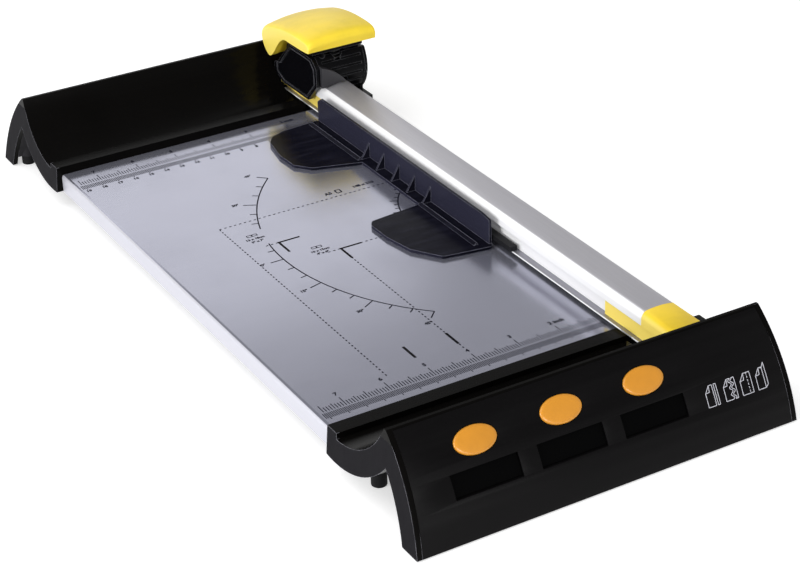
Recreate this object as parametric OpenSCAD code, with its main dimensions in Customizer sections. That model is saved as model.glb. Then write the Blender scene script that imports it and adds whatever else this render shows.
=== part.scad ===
// Rotary paper trimmer for A4 sheets.
// Origin: middle of the footprint, on the floor. +X right (cut side), +Y rear, +Z up.

/* [Board] */
// Length of the bed between the two end housings
board_len = 335; // [300:1:420]
// Width of the bed
board_w = 206; // [200:1:207]
// Height of the bed's top face above the floor
board_top = 22; // [21:0.5:24]
// Thickness of the bed's sheet metal
sheet_t = 1.2; // [0.8:0.1:1.6]
// Height of the bed's folded skirt
skirt_h = 11; // [9:0.5:11]
// Distance from the right end of the housings to the bed
board_inset = 7; // [6:0.1:7.4]
// Depth of the ribbed frame under the sheet
frame_h = 9; // [7:0.5:9.5]
// Thickness of the frame's ribs
frame_rib_t = 2; // [1.5:0.5:3]
// Number of frame cells across the bed
cells_x = 5; // [4:1:6]
// Number of frame cells along the bed
cells_y = 8; // [7:1:10]

/* [Housings] */
// Width of an end housing at the floor
housing_w = 218; // [214:1:230]
// How far the left end face leans out from top to floor
flare_left = 4.5; // [0:0.5:6]
// How far the right end face leans out from top to floor
flare_right = 1.5; // [0:0.5:3]
// Height of a housing's crest
peak_h = 52; // [50:0.5:53]
// Radius of the trough between bed and crest
trough_r = 47.9; // [46:0.1:50]
// Distance from the bed's end to the foot of the outer face
foot_reach = 85.74; // [85:0.01:87]
// Radius of the outer face
outer_r = 92.6; // [88:0.1:98]
// Thickness through the double-walled housing
shell_t = 13; // [11:0.5:15]
// Wall of the mouldings
wall = 2.6; // [2:0.1:3]
// Thickness of the end cheeks
cheek_t = 3; // [2.5:0.5:4]
// Width of the raised lip next to the bed
lip_w = 9; // [7:0.5:11]
// Height of the lip above the bed
lip_rise = 5; // [3:0.5:6]
// Gap under the outer leg when the feet stand on the floor
leg_gap = 0.8; // [0.5:0.1:1.5]
// Clearance between fixed mouldings
fit = 0.1; // [0.05:0.05:0.2]

/* [Rail] */
// Distance of the cut line from the right end of the housings
cut_inset = 17.6; // [16:0.1:19]
// Width of the rail
rail_w = 19.6; // [18:0.2:22]
// Distance from the rail's right side to the cut line
rail_gap = 6.6; // [6:0.1:8]
// Height of the rail's top face above the bed
rail_rise = 20.2; // [19:0.1:22]
// Depth of the polished upper side of the rail
rail_side_h = 8.5; // [7:0.1:10]
// Depth of the recess under the polished side
rail_recess = 2.6; // [2:0.1:3]
// Wall of the rail
rail_wall = 2; // [1.5:0.1:2.5]
// Length of the bare aluminium rail
rail_len = 364; // [350:1:366]
// Radius of the rail's upper left edge
rail_edge_r = 5; // [4:0.1:6]
// Height of the crown across the rail's top
rail_crown = 1; // [0.5:0.1:1.5]
// Length of a cap's side flange in the rail's recess
cap_flange_len = 32.5; // [20:0.5:60]
// Length of a cap beyond the rail
cap_len = 29; // [20:0.5:29.5]
// Height of the clamp strip's underside above the bed
clamp_rise = 1.9; // [1.8:0.1:2.4]
// Thickness of the clamp strip
clamp_t = 1; // [0.8:0.1:1.2]
// How far the clamp strip stands out from the rail's left side
clamp_out = 1.2; // [0.5:0.1:2]
// Length of the clamp strip
clamp_len = 404; // [380:1:408]
// Travel of the rail when it clamps the paper
clamp_travel = 1.5; // [1:0.1:1.5]
// Thickness of the grip strip under the clamp strip
grip_t = 0.35; // [0.2:0.05:0.35]
// Diameter of the rail's guide posts
post_d = 8; // [6:0.5:9]

/* [Cutting head] */
// Distance of the parked head from the middle of the machine
park_y = 176.6; // [170:0.1:177]
// Radius of the ribbed drum
drum_r = 21; // [19:0.5:21.5]
// Height of the drum's centre above the bed
drum_rise = 26; // [25:0.5:27]
// Height of the drum's flat top above the bed
drum_top_rise = 39; // [38:0.5:39.5]
// Right end of the drum past the cut line
drum_out = 6.6; // [6.4:0.1:8]
// Number of grooves around the drum's front
drum_grooves = 5; // [3:1:7]
// Thickness of the side plate
plate_t = 3; // [2.5:0.1:3.2]
// Travel of the handle
press_travel = 3; // [2:0.1:3]
// Diameter of the rotary blade
blade_d = 28; // [24:1:28]
// Thickness of the blade
blade_t = 0.4; // [0.3:0.1:0.6]
// Diameter of the blade's axle
axle_d = 5; // [4:0.5:6]
// Gap between the blade and the mat when everything is pressed
blade_gap = 0.2; // [0.1:0.05:0.4]
// Width of the yellow handle
handle_w = 47; // [40:1:50]
// Running clearance between parts that slide
slide_gap = 0.3; // [0.2:0.05:0.4]

/* [Paper guide] */
// Length of the guide's wall
guide_len = 197; // [150:1:200]
// Distance of the guide's middle from the middle of the machine
guide_y = 48; // [30:1:60]
// Height of the guide's wall above the bed
guide_rise = 17.7; // [14:0.1:18]
// Thickness of the guide's wall
guide_wall_t = 1.5; // [1:0.1:1.6]
// Thickness of the guide's wings
wing_t = 2; // [1.5:0.1:2.4]
// Reach of the wings from the wall
wing_reach = 43; // [35:1:50]
// Number of ribs between the wings
guide_ribs = 5; // [3:1:7]

/* [Buttons and spare cartridges] */
// Distance between neighbouring buttons
bay_pitch = 47.1; // [44:0.1:48]
// How far right of the panel's middle the middle button stands, as a part of the free width
bay_shift = 0.1594; // [0.14:0.0001:0.17]
// Width of a button
oval_w = 23; // [20:0.5:25]
// Height of a button
oval_h = 13.8; // [12:0.2:14]
// Height of the buttons' middle on the outer face
button_z = 40.107; // [39.607:0.1:40.607]
// Angle of the buttons on the outer face, up from level
button_angle = 40.8; // [38:0.2:42]
// Travel of a button
button_travel = 2.2; // [1.5:0.1:2.2]
// Diameter of a button's stem
stem_d = 5; // [4:0.5:5]
// How far a button stands out of the panel
button_out = 0.9; // [0.5:0.1:2]
// Width of a storage window
window_w = 36.7; // [34:0.1:38]
// Height of a storage window
window_h = 10.4; // [9.5:0.1:10.6]
// Height of a storage window's lower edge
window_z = 20.3; // [19.5:0.1:20.5]
// Depth of a storage tray from its back wall to the middle of the machine
bay_back = 209.6; // [209.2:0.1:211]
// Wall of a storage tray
bay_t = 1.2; // [1:0.1:1.5]
// Clearance round a spare cartridge
spare_gap = 0.4; // [0.2:0.05:0.5]

/* [Feet and screws] */
// Diameter of a foot
foot_d = 8; // [7:0.5:10]
// Height of a foot under the trough
foot_h = 11; // [10:0.5:11.5]
// Distance of the feet under the trough from the bed's end, along the machine
foot_back = 21.5; // [18:0.5:22]
// Distance of the left feet under the trough from the left end of the housings
foot_inset = 17.4; // [15:0.1:25]
// Height of the open slot under a leg's inner wall, and of the feet under it
leg_foot_h = 6; // [4:0.5:8]
// Distance of the leg feet from the bed's end, along the machine
leg_foot_back = 72.4; // [71.5:0.1:73]
// Distance of the leg feet from the left and right ends of the housings
leg_foot_inset = 10.6; // [9:0.1:16]
// Diameter of the screws
screw_d = 3; // [2.5:0.1:3.5]
// Diameter of the screw heads
screw_head_d = 6; // [5.5:0.1:7]

/* [Hidden] */
$fn = 48;
eps = 0.01;
screw_play = 0.1;
screw_head_h = 2;

board_x1 = housing_w / 2 - board_inset;
board_x0 = board_x1 - board_w;
lip_d = board_len / 2;
bed_under = board_top - sheet_t;

// Arc centres of the housing section, as distance along Y and height
trough_back = 8;
trough_rise = 1.8;
trough_c = [lip_d + trough_back, board_top + trough_rise + trough_r];
outer_c_z = button_z - outer_r * sin(button_angle);
outer_c = [lip_d + foot_reach - sqrt(pow(outer_r, 2) - pow(leg_gap - outer_c_z, 2)), outer_c_z];
trough_in_r = trough_r + wall;
belly_r = trough_r + shell_t;
belly_in_r = belly_r - wall;
fascia_in_r = outer_r - wall;
leg_r = outer_r - shell_t;
leg_in_r = leg_r + wall;
section_d = 110;

cut_x = housing_w / 2 - cut_inset;
rail_x1 = cut_x - rail_gap;
rail_x0 = rail_x1 - rail_w;
rail_mid = (rail_x0 + rail_x1) / 2;
rail_top = board_top + rail_rise;
rail_side_z = rail_top - rail_side_h;
clamp_z = board_top + clamp_rise;
rail_foot_z = clamp_z + clamp_t;
cap_end = rail_len / 2 + cap_len;
flange_in = 1.1;

// Open bay that the rail and head run into at each end
bay_side = 4.4;
bay_x0 = rail_x0 - bay_side;
bay_len = 45.5;
bay_end = lip_d + bay_len;
bay_floor = board_top - 0.6;
bay_under = bay_floor - wall;
bay_x1 = housing_w / 2 - cheek_t - flare_right * bay_floor / peak_h;
bay_sill = bay_under + 0.8;

post_y = cap_end - 14;
post_foot = 16.5;
socket_z = 12;
socket_floor = 13.5;
socket_d = post_d + 6;
post_play = 0.2;
rail_screw_len = 14;

drum_z = board_top + drum_rise;
drum_top = board_top + drum_top_rise - 1;
drum_x1 = cut_x + drum_out;
cover_t = 1.8;
groove_from = 202;
groove_span = 60;
groove_r = 0.7;
pad_t = 1.4;
pad_gap = 0.2;
pad_len = 8;
pad_y = [-6, 12];
roof_z = rail_top + pad_gap + pad_t;
plate_x1 = rail_x0 - 0.7;
plate_x0 = plate_x1 - plate_t;
plate_z0 = drum_z - 17.5;
head_side_x = rail_x1 + 0.6;
hook_z0 = rail_side_z - 2.7;
hook_z1 = rail_side_z - 0.5;
hook_in = flange_in - slide_gap;
hook_len = 28;
plate_hook_len = 24;
plate_hook_y = 4;

cart_t = 9.4;
cart_r = blade_d / 2 + 2;
cart_x0 = cut_x - 4.3;
cart_x1 = cart_x0 + cart_t;
axle_z = board_top + blade_gap + clamp_travel + press_travel + blade_d / 2;
cart_foot = axle_z - blade_d / 2 + 1.2;
cover_recess = 0.5;
cover_screw_d = 2;
cover_screw_head = 3.6;
cover_screw_side = cart_r + 3;
cover_screw_z = drum_z - 4;
blade_play = 0.3;
axle_play = 0.1;

handle_x0 = plate_x0 - 5.1;
yoke_z1 = drum_top + press_travel + 2.4;
yoke_z0 = yoke_z1 - 2.1;
yoke_stem_d = 6;
stem_play = 0.2;
yoke_screw_len = 10;
yoke_front = 21;
yoke_back = 6;
stem_y = [-15, 3];
stem_x = rail_mid - 5;
spring_x = rail_mid + 5;
spring_d = 7.6;
spring_wire = 0.8;
spring_seat = drum_top - 8;
stem_foot = drum_top - 12.5;

guide_x1 = bay_x0 - 0.6;
guide_x0 = guide_x1 - guide_wall_t;
guide_z = board_top + 0.2;
wing_z = guide_z + wing_t;
tongue_z0 = rail_foot_z + 0.7;
tongue_t = 2;
tongue_in = 8;
rib_front = 36;
rib_rear = 34.5;
rib_h = 9.4;
rib_foot = 5.6;
guide_rib_t = 1.2;
land_w = 7;
ridge_h = 1.4;
slider_out = 17;

panel_mid = (bay_x0 - housing_w / 2) / 2;
panel_free = bay_x0 + housing_w / 2 - 2 * bay_pitch - window_w;
bay_x = [for (i = [-1:1]) panel_mid + bay_shift * panel_free + i * bay_pitch];
window_top = window_z + window_h;
spare_front_r = outer_r - 1;
spare_w = window_w - 2 * spare_gap;
spare_h = window_h - 2 * spare_gap - 0.2;
spare_back = bay_back + 1.4;
spare_y = spare_back + 16;
spare_groove_w = 19;
spare_groove_z = 2.2;
flange_r = fascia_in_r - 0.8;
flange_t = 1.6;
flange_rim = 1.5;
oval_play = 0.3;
tube_r = flange_r - flange_t - button_travel - 0.2;
tube_d = stem_d + 3.4;
stem_end_r = tube_r - 2.2;

rib_x = [for (i = [0:2]) bay_x[i] + bay_pitch / 2];
rib_t = 2;
lug_x = bay_x;
lug_w = 20;
lug_len = 16;
lug_z = 14;
lug_h = 6;
lug_screw_y = lip_d + 9.5;
lug_seat = 11.3;
cover_screw_y = lip_d + 28.5;
cover_seat = 15.2;
cover_screw_len = 9;
boss_d = 7;
foot_y = lip_d + foot_back;
foot_xs = [-housing_w / 2 + foot_inset, rail_mid + 13];
leg_foot_y = lip_d + leg_foot_back;
leg_foot_xs = [-housing_w / 2 + leg_foot_inset, housing_w / 2 - leg_foot_inset];
foot_plug_d = 4;
foot_plug_h = 4;
mat_w = 6;
mat_t = 1.4;
mat_play = 0.1;
board_edge_r = 2.2;
rabbet = 2;
bumper_w = 4.5;
bumper_y = bay_end - 16;
bumper_len = 12;
bumper_top = rail_top - 2.2;

BLACK = "#16161a";
MATT = "#2c2b33";
YELLOW = "#fdc22d";
SILVER = "#b9bac4";
STEEL = "#9a9ca3";
SMOKE = "#2b2c3a";

// Extrudes a section drawn as (Y, Z) along X from x0
module along_x(x0, w) {
    translate([x0, 0, 0]) rotate([90, 0, 90]) linear_extrude(w) children();
}

// Extrudes a section drawn as (X, Z) along Y, about the middle
module along_y(len) {
    rotate([90, 0, 0]) linear_extrude(len, center = true) children();
}

// Places a rear-end piece at the front when side is -1
module at_end(side) {
    if (side < 0) mirror([0, 1, 0]) children();
    else children();
}

module box(x0, x1, y0, y1, z0, z1) {
    translate([x0, y0, z0]) cube([x1 - x0, y1 - y0, z1 - z0]);
}

module box_2d(d0, d1, z0, z1) {
    translate([d0, z0]) square([d1 - d0, z1 - z0]);
}

module disc_2d(c, r) {
    translate(c) circle(r, $fn = 96);
}

// Screw that points up: the head's underside sits at z
module screw_up(x, y, z, len, head_d = screw_head_d) {
    translate([x, y, z - screw_head_h]) cylinder(h = screw_head_h, d = head_d);
    translate([x, y, z - eps]) cylinder(h = len, d = screw_d);
}

module ring(h, od, id) {
    difference() {
        cylinder(h = h, d = od);
        translate([0, 0, -1]) cylinder(h = h + 2, d = id);
    }
}

// Points of a closed outline with each corner rounded to radius r
function unit(v) = v / norm(v);
function corner_arc(a, b, c, r, n) =
    let (u = unit(a - b), v = unit(c - b),
        half = acos(max(-1, min(1, u * v))) / 2,
        reach = min(r / tan(half), norm(a - b) * 0.48, norm(c - b) * 0.48),
        rad = reach * tan(half),
        m = b + unit(u + v) * rad / sin(half),
        p = b + u * reach - m, q = b + v * reach - m,
        a0 = atan2(p[1], p[0]), a1 = atan2(q[1], q[0]),
        turn = ((a1 - a0 + 540) % 360) - 180)
    [for (i = [0:n]) m + rad * [cos(a0 + turn * i / n), sin(a0 + turn * i / n)]];
function rounded(pts, r, n = 5) =
    [for (i = [0:len(pts) - 1])
        each corner_arc(pts[(i + len(pts) - 1) % len(pts)], pts[i], pts[(i + 1) % len(pts)], r, n)];

function ellipse(w, h, n = 48) = [for (i = [0:n - 1]) [w / 2 * cos(360 * i / n), h / 2 * sin(360 * i / n)]];

// Housing section

module gull_2d() {
    intersection() {
        difference() {
            union() {
                intersection() {
                    disc_2d(trough_c, belly_r);
                    disc_2d(outer_c, outer_r);
                }
                difference() {
                    disc_2d(outer_c, outer_r);
                    disc_2d(outer_c, leg_r);
                }
            }
            disc_2d(trough_c, trough_r);
        }
        box_2d(lip_d, lip_d + section_d, leg_gap, peak_h);
    }
    box_2d(lip_d, lip_d + lip_w, trough_c[1] - belly_r + 2, board_top + lip_rise);
}

// Everything under the trough's skin and behind the bed's end
module under_skin_2d() {
    difference() {
        box_2d(lip_d + wall, lip_d + section_d, -1, peak_h + 1);
        disc_2d(trough_c, trough_in_r);
        box_2d(lip_d, lip_d + lip_w + eps, trough_c[1] - trough_in_r, peak_h + 1);
    }
}

// Hollow between the upper skin, the belly cover and the fascia
module hollow_2d() {
    difference() {
        union() {
            intersection() {
                disc_2d(trough_c, belly_in_r);
                disc_2d(outer_c, fascia_in_r);
            }
            difference() {
                disc_2d(outer_c, fascia_in_r);
                disc_2d(outer_c, leg_in_r);
            }
        }
        disc_2d(trough_c, trough_in_r);
    }
}

// Prism between the leaning end faces, drawn in by inset
module flare_prism(inset) {
    along_y(4 * lip_d) polygon([
        [-housing_w / 2 + inset, -1], [housing_w / 2 - inset, -1],
        [housing_w / 2 - flare_right - inset, peak_h + 1],
        [-housing_w / 2 + flare_left + inset, peak_h + 1]]);
}

module on_panel(x, angle, r) {
    translate([x, outer_c[0], outer_c[1]]) rotate([angle - 90, 0, 0]) translate([0, 0, r]) children();
}

module bay_box(grow) {
    box(bay_x0 - wall - grow, bay_x1 + eps, lip_d - eps, bay_end + wall + grow,
        bay_under - grow, peak_h);
}

module socket_outer(grow) {
    translate([rail_mid, post_y, socket_z - eps])
        cylinder(h = bay_under - socket_z + 1, d = socket_d + 2 * grow);
}

module housing_shape() {
    difference() {
        union() {
            difference() {
                intersection() {
                    along_x(-housing_w / 2, housing_w) gull_2d();
                    flare_prism(0);
                }
                intersection() {
                    along_x(-housing_w / 2, housing_w) under_skin_2d();
                    flare_prism(cheek_t);
                }
            }
            for (x = rib_x) along_x(x - rib_t / 2, rib_t) intersection() {
                hollow_2d();
                box_2d(lip_d + wall, outer_c[0] + leg_in_r * cos(55), leg_gap + wall, peak_h);
            }
            for (x = rib_x) intersection() {
                translate([x, cover_screw_y, 0]) cylinder(h = trough_c[1], d = boss_d);
                along_x(-housing_w / 2, housing_w) hollow_2d();
            }
            intersection() {
                along_x(bay_x0 - wall, bay_x1 - bay_x0 + wall + eps) difference() {
                    box_2d(lip_d, bay_end + wall, bay_under, peak_h);
                    disc_2d(trough_c, trough_r);
                }
                flare_prism(cheek_t - eps);
            }
            socket_outer(0);
        }
        box(bay_x0, bay_x1, lip_d - 1, bay_end, bay_floor, peak_h + 1);
        box(bay_x1 - eps, housing_w, lip_d - 1, bay_end, bay_sill, peak_h + 1);
        translate([rail_mid, post_y, socket_floor]) cylinder(h = 20, d = post_d + post_play);
        translate([rail_mid, post_y, socket_z - 1]) cylinder(h = 20, d = screw_d + 2 * screw_play);
        for (x = lug_x) box(x - lug_w / 2 - fit, x + lug_w / 2 + fit, lip_d - 1, lip_d + wall + 1,
            lug_z - fit, lug_z + lug_h + fit);
        for (x = rib_x) translate([x, cover_screw_y, 0])
            cylinder(h = cover_seat + 10, d = screw_d + screw_play);
    }
}

module fascia_shape(windows) {
    difference() {
        intersection() {
            along_x(-housing_w / 2, housing_w) difference() {
                gull_2d();
                box_2d(0, lip_d + lip_w, 0, peak_h);
                disc_2d(outer_c, fascia_in_r);
                disc_2d(trough_c, trough_in_r + fit);
            }
            flare_prism(cheek_t + fit);
        }
        if (windows) for (x = bay_x) {
            box(x - window_w / 2, x + window_w / 2, bay_back, lip_d + section_d,
                window_z, window_top);
            on_panel(x, button_angle, fascia_in_r - 4) linear_extrude(8 + wall)
                polygon(ellipse(oval_w + 2 * oval_play, oval_h + 2 * oval_play));
        }
    }
}

// Space that the button's flange, spring and stem pass through
module button_room(x) {
    on_panel(x, button_angle, leg_r - 5) cylinder(h = outer_r, d = tube_d + 2 * fit);
    on_panel(x, button_angle, leg_in_r) linear_extrude(outer_r)
        polygon(ellipse(oval_w + 2 * flange_rim + 1, oval_h + 2 * flange_rim + 1));
}

module tray_block(x, grow) {
    box(x - window_w / 2 - bay_t - grow, x + window_w / 2 + bay_t + grow,
        bay_back - bay_t - grow, lip_d + section_d, window_z - bay_t - grow, window_top + bay_t + grow);
}

module belly_shape(windows) {
    difference() {
        union() {
            intersection() {
                along_x(-housing_w / 2, housing_w) difference() {
                    intersection() {
                        gull_2d();
                        box_2d(lip_d + wall + fit, lip_d + section_d, leg_foot_h, peak_h);
                    }
                    hollow_2d();
                    disc_2d(trough_c, trough_in_r + fit);
                    box_2d(lip_d, lip_d + lip_w + eps, trough_c[1] - trough_in_r - fit, peak_h);
                    difference() {
                        disc_2d(outer_c, outer_r + 1);
                        disc_2d(outer_c, fascia_in_r - fit);
                    }
                }
                flare_prism(cheek_t + fit);
            }
            for (x = foot_xs) translate([x, foot_y, foot_h]) cylinder(h = 4, d = foot_d + 1);
            for (x = leg_foot_xs) translate([x, leg_foot_y, leg_foot_h]) cylinder(h = 9, d = foot_d + 1);
            for (x = rib_x) along_x(x - rib_t / 2, rib_t) difference() {
                intersection() {
                    box_2d(lip_d + section_d / 2, lip_d + section_d, leg_foot_h, peak_h / 2);
                    disc_2d(outer_c, fascia_in_r - fit);
                }
                disc_2d(outer_c, leg_r);
            }
            if (windows) for (x = bay_x) on_panel(x, button_angle, leg_r + 0.5)
                cylinder(h = tube_r - leg_r - 0.5, d = tube_d);
        }
        bay_box(fit);
        socket_outer(fit);
        for (x = foot_xs) translate([x, foot_y, 0]) cylinder(h = 30, d = foot_plug_d + screw_play);
        for (x = leg_foot_xs) translate([x, leg_foot_y, 0])
            cylinder(h = leg_foot_h + foot_plug_h + 1, d = foot_plug_d + screw_play);
        for (x = lug_x) {
            translate([x, lug_screw_y, 0]) cylinder(h = 30, d = screw_d + screw_play);
            translate([x, lug_screw_y, -1]) cylinder(h = lug_seat + 1, d = screw_head_d + 1);
        }
        for (x = rib_x) {
            translate([x, cover_screw_y, 0]) cylinder(h = 30, d = screw_d + screw_play);
            translate([x, cover_screw_y, -1]) cylinder(h = cover_seat + 1, d = screw_head_d + 1);
        }
        if (windows) for (x = bay_x) {
            tray_block(x, fit);
            on_panel(x, button_angle, leg_r - 5) cylinder(h = 20, d = stem_d + 2 * screw_play);
        }
    }
}

// Bed

module bed_section_2d(inset, r) {
    x0 = board_x0 + inset;
    x1 = board_x1 - inset;
    top = board_top - inset;
    translate([x0, 0]) square([x1 - x0, top - r]);
    translate([x0 + r, 0]) square([x1 - x0 - 2 * r, top]);
    for (x = [x0 + r, x1 - r]) translate([x, top - r]) circle(r);
}

// Channel for the cutting mat, deeper and wider by grow
module mat_channel(grow) {
    half = mat_w / 2 + mat_play + grow;
    box(cut_x - half, cut_x + half, -lip_d, lip_d, board_top - mat_t - grow, board_top + 1);
}

module board() {
    color(SILVER) difference() {
        union() {
            along_y(board_len - 2 * fit) difference() {
                bed_section_2d(0, board_edge_r);
                bed_section_2d(sheet_t, board_edge_r - sheet_t);
                translate([-housing_w, -1]) square([2 * housing_w, board_top - skirt_h + 1]);
            }
            intersection() {
                along_y(board_len - 2 * fit) bed_section_2d(0, board_edge_r);
                mat_channel(sheet_t);
            }
        }
        mat_channel(0);
    }
}

module base_frame() {
    fx0 = board_x0 + sheet_t + 3 * fit;
    fx1 = board_x1 - sheet_t - 3 * fit;
    fy = lip_d - fit;
    z0 = bed_under - frame_h;
    z1 = bed_under;
    cell_w = (fx1 - fx0 - frame_rib_t) / cells_x;
    cell_l = (2 * fy - frame_rib_t) / cells_y;
    color(BLACK) difference() {
        union() {
            for (i = [0:cells_x]) box(fx0 + i * cell_w, fx0 + i * cell_w + frame_rib_t, -fy, fy, z0, z1);
            for (j = [0:cells_y])
                box(fx0, fx1, -fy + j * cell_l, -fy + j * cell_l + frame_rib_t, z0, z1);
            box(cut_x - mat_w / 2 - sheet_t - frame_rib_t, cut_x + mat_w / 2 + sheet_t + frame_rib_t, -fy, fy,
                z1 - mat_t - frame_rib_t, z1);
            for (side = [-1, 1]) at_end(side) for (x = lug_x)
                box(x - lug_w / 2, x + lug_w / 2, fy - frame_rib_t, lip_d + lug_len, lug_z, lug_z + lug_h);
        }
        mat_channel(sheet_t + fit);
        for (side = [-1, 1]) at_end(side) for (x = lug_x)
            translate([x, lug_screw_y, 0]) cylinder(h = board_top, d = screw_d + screw_play);
        for (x = [fx0 - eps, fx1 - rabbet + eps]) box(x, x + rabbet, -lip_d, lip_d, z1 - rabbet, z1 + 1);
    }
}

module cutting_mat() {
    color("#3b4048") box(cut_x - mat_w / 2, cut_x + mat_w / 2, -lip_d + 2 * fit, lip_d - 2 * fit,
        board_top - mat_t, board_top);
}

module foot(x, y, h, side) {
    color(BLACK) at_end(side) translate([x, y, 0]) {
        cylinder(h = h, d = foot_d);
        cylinder(h = h + foot_plug_h, d = foot_plug_d);
    }
}

module bumper(side) {
    color(BLACK) at_end(side)
        box(rail_x1 + 0.7, rail_x1 + 0.7 + bumper_w, bumper_y, bumper_y + bumper_len, bay_floor, bumper_top);
}

module frame_screws() {
    color(STEEL) for (side = [-1, 1]) at_end(side) for (x = lug_x)
        screw_up(x, lug_screw_y, lug_seat, lug_z + lug_h - lug_seat - 1);
}

module cover_screws() {
    color(STEEL) for (side = [-1, 1]) at_end(side) for (x = rib_x)
        screw_up(x, cover_screw_y, cover_seat, cover_screw_len);
}

// Storage trays, spare cartridges and buttons

module tray(x) {
    color(BLACK) at_end(-1) difference() {
        intersection() {
            tray_block(x, 0);
            along_x(-housing_w / 2, housing_w) disc_2d(outer_c, fascia_in_r - fit);
        }
        box(x - window_w / 2, x + window_w / 2, bay_back, lip_d + section_d, window_z, window_top);
        button_room(x);
    }
}

module spare_cartridge(x) {
    mid_z = (window_z + window_top) / 2;
    color(BLACK) at_end(-1) difference() {
        intersection() {
            box(x - spare_w / 2, x + spare_w / 2, spare_back, lip_d + section_d,
                mid_z - spare_h / 2, mid_z + spare_h / 2);
            along_x(-housing_w / 2, housing_w) disc_2d(outer_c, spare_front_r);
        }
        translate([x, spare_y, mid_z - 0.6]) cylinder(h = 1.2, r = blade_d / 2 + 0.6);
        box(x - blade_d / 2, x + blade_d / 2, spare_back - 1, spare_y - 10, mid_z - 0.6, mid_z + 0.6);
        translate([x, spare_y, mid_z - spare_h / 2 - 1]) cylinder(h = spare_h + 2, d = axle_d + 3);
        intersection() {
            box(x - spare_groove_w / 2, x + spare_groove_w / 2, spare_back - 1, lip_d + section_d,
                window_top - spare_groove_z, window_top);
            along_x(-housing_w / 2, housing_w) disc_2d(outer_c, flange_r + 0.4);
        }
    }
}

module spare_blade(x) {
    color(STEEL) at_end(-1) translate([x, spare_y, (window_z + window_top) / 2 - blade_t / 2])
        ring(blade_t, blade_d, axle_d + axle_play);
}

module button(x) {
    color(YELLOW) at_end(-1) on_panel(x, button_angle, 0) {
        translate([0, 0, flange_r - flange_t]) linear_extrude(outer_r + button_out - flange_r + flange_t)
            polygon(ellipse(oval_w, oval_h));
        translate([0, 0, flange_r - flange_t]) linear_extrude(flange_t)
            polygon(ellipse(oval_w + 2 * flange_rim, oval_h + 2 * flange_rim));
        translate([0, 0, stem_end_r]) cylinder(h = flange_r - stem_end_r, d = stem_d);
    }
}

module button_spring(x) {
    color(STEEL) at_end(-1) on_panel(x, button_angle, leg_in_r + fit)
        ring(flange_r - flange_t - leg_in_r - 2 * fit, tube_d + 2.6, tube_d + 0.8);
}

// Rail and clamp

module rail_outline_2d(grow) {
    r = rail_edge_r;
    crown_r = (pow(rail_w / 2, 2) + pow(rail_crown, 2)) / (2 * rail_crown);
    intersection() {
        union() {
            translate([rail_x0, rail_side_z]) square([rail_w, rail_side_h - r]);
            translate([rail_x0 + r, rail_side_z]) square([rail_w - r, rail_side_h]);
            translate([rail_x0 + r, rail_top - r]) circle(r);
        }
        translate([rail_x0, rail_side_z]) square([rail_w, rail_side_h]);
        translate([rail_mid, rail_top - crown_r]) circle(crown_r, $fn = 240);
    }
    translate([rail_x0 + rail_recess - grow, rail_foot_z])
        square([rail_w - 2 * rail_recess + 2 * grow, rail_side_z - rail_foot_z + eps]);
}

module rail_hollow_2d(shrink) {
    inset = rail_recess + rail_wall + shrink;
    translate([rail_x0 + inset, rail_foot_z + rail_wall + shrink])
        square([rail_w - 2 * inset, rail_top - rail_crown - rail_foot_z - 2 * rail_wall - 2 * shrink]);
}

module rail() {
    color(SILVER) along_y(rail_len) difference() {
        rail_outline_2d(0);
        rail_hollow_2d(0);
    }
}

module rail_cap(side) {
    y0 = rail_len / 2 + fit / 2;
    color(YELLOW) at_end(side) difference() {
        union() {
            intersection() {
                along_y(2 * cap_end) rail_outline_2d(rail_recess - flange_in);
                box(rail_x0 - 1, rail_x1 + 1, y0, cap_end, 0, rail_top + 1);
            }
            intersection() {
                along_y(2 * cap_end) rail_hollow_2d(fit);
                box(rail_x0, rail_x1, y0 - 12, y0 + 1, 0, rail_top);
            }
            for (x = [rail_x0 + flange_in, rail_x1 - rail_recess + fit])
                box(x, x + rail_recess - flange_in - fit, rail_len / 2 - cap_flange_len, y0 + 1,
                    rail_foot_z + fit, rail_side_z - fit);
            translate([rail_mid, post_y, post_foot]) cylinder(h = rail_foot_z - post_foot + 1, d = post_d);
        }
        translate([rail_mid, post_y, 0]) cylinder(h = rail_foot_z + 6, d = screw_d + screw_play);
    }
}

module clamp_strip() {
    color(SILVER) difference() {
        box(rail_x0 - clamp_out, rail_x1 - rail_recess, -clamp_len / 2, clamp_len / 2, clamp_z, rail_foot_z);
        for (side = [-1, 1]) translate([rail_mid, side * post_y, 0])
            cylinder(h = rail_top, d = post_d + post_play);
    }
}

module grip_strip() {
    color(MATT) difference() {
        box(rail_x0 - clamp_out + 0.7, rail_x1 - rail_recess - 0.7, -lip_d, lip_d, clamp_z - grip_t, clamp_z);
        box(rail_x0 + rail_recess, rail_x1 - 2 * rail_recess, -lip_d - 1, lip_d + 1, 0, clamp_z + 1);
    }
}

module rail_screws() {
    color(STEEL) for (side = [-1, 1])
        screw_up(rail_mid, side * post_y, socket_z - fit, rail_screw_len);
}

module rail_spring(side) {
    color(STEEL) translate([rail_mid, side * post_y, socket_floor + fit / 2])
        ring(post_foot - socket_floor - fit, post_d - 1, screw_d + 1);
}

// Cutting head, drawn about park_y

module at_head() {
    translate([0, park_y, 0]) children();
}

module head_disc_2d(r) {
    intersection() {
        translate([0, drum_z]) circle(r, $fn = 96);
        translate([-2 * r, 0]) square([4 * r, drum_top]);
    }
}

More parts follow.
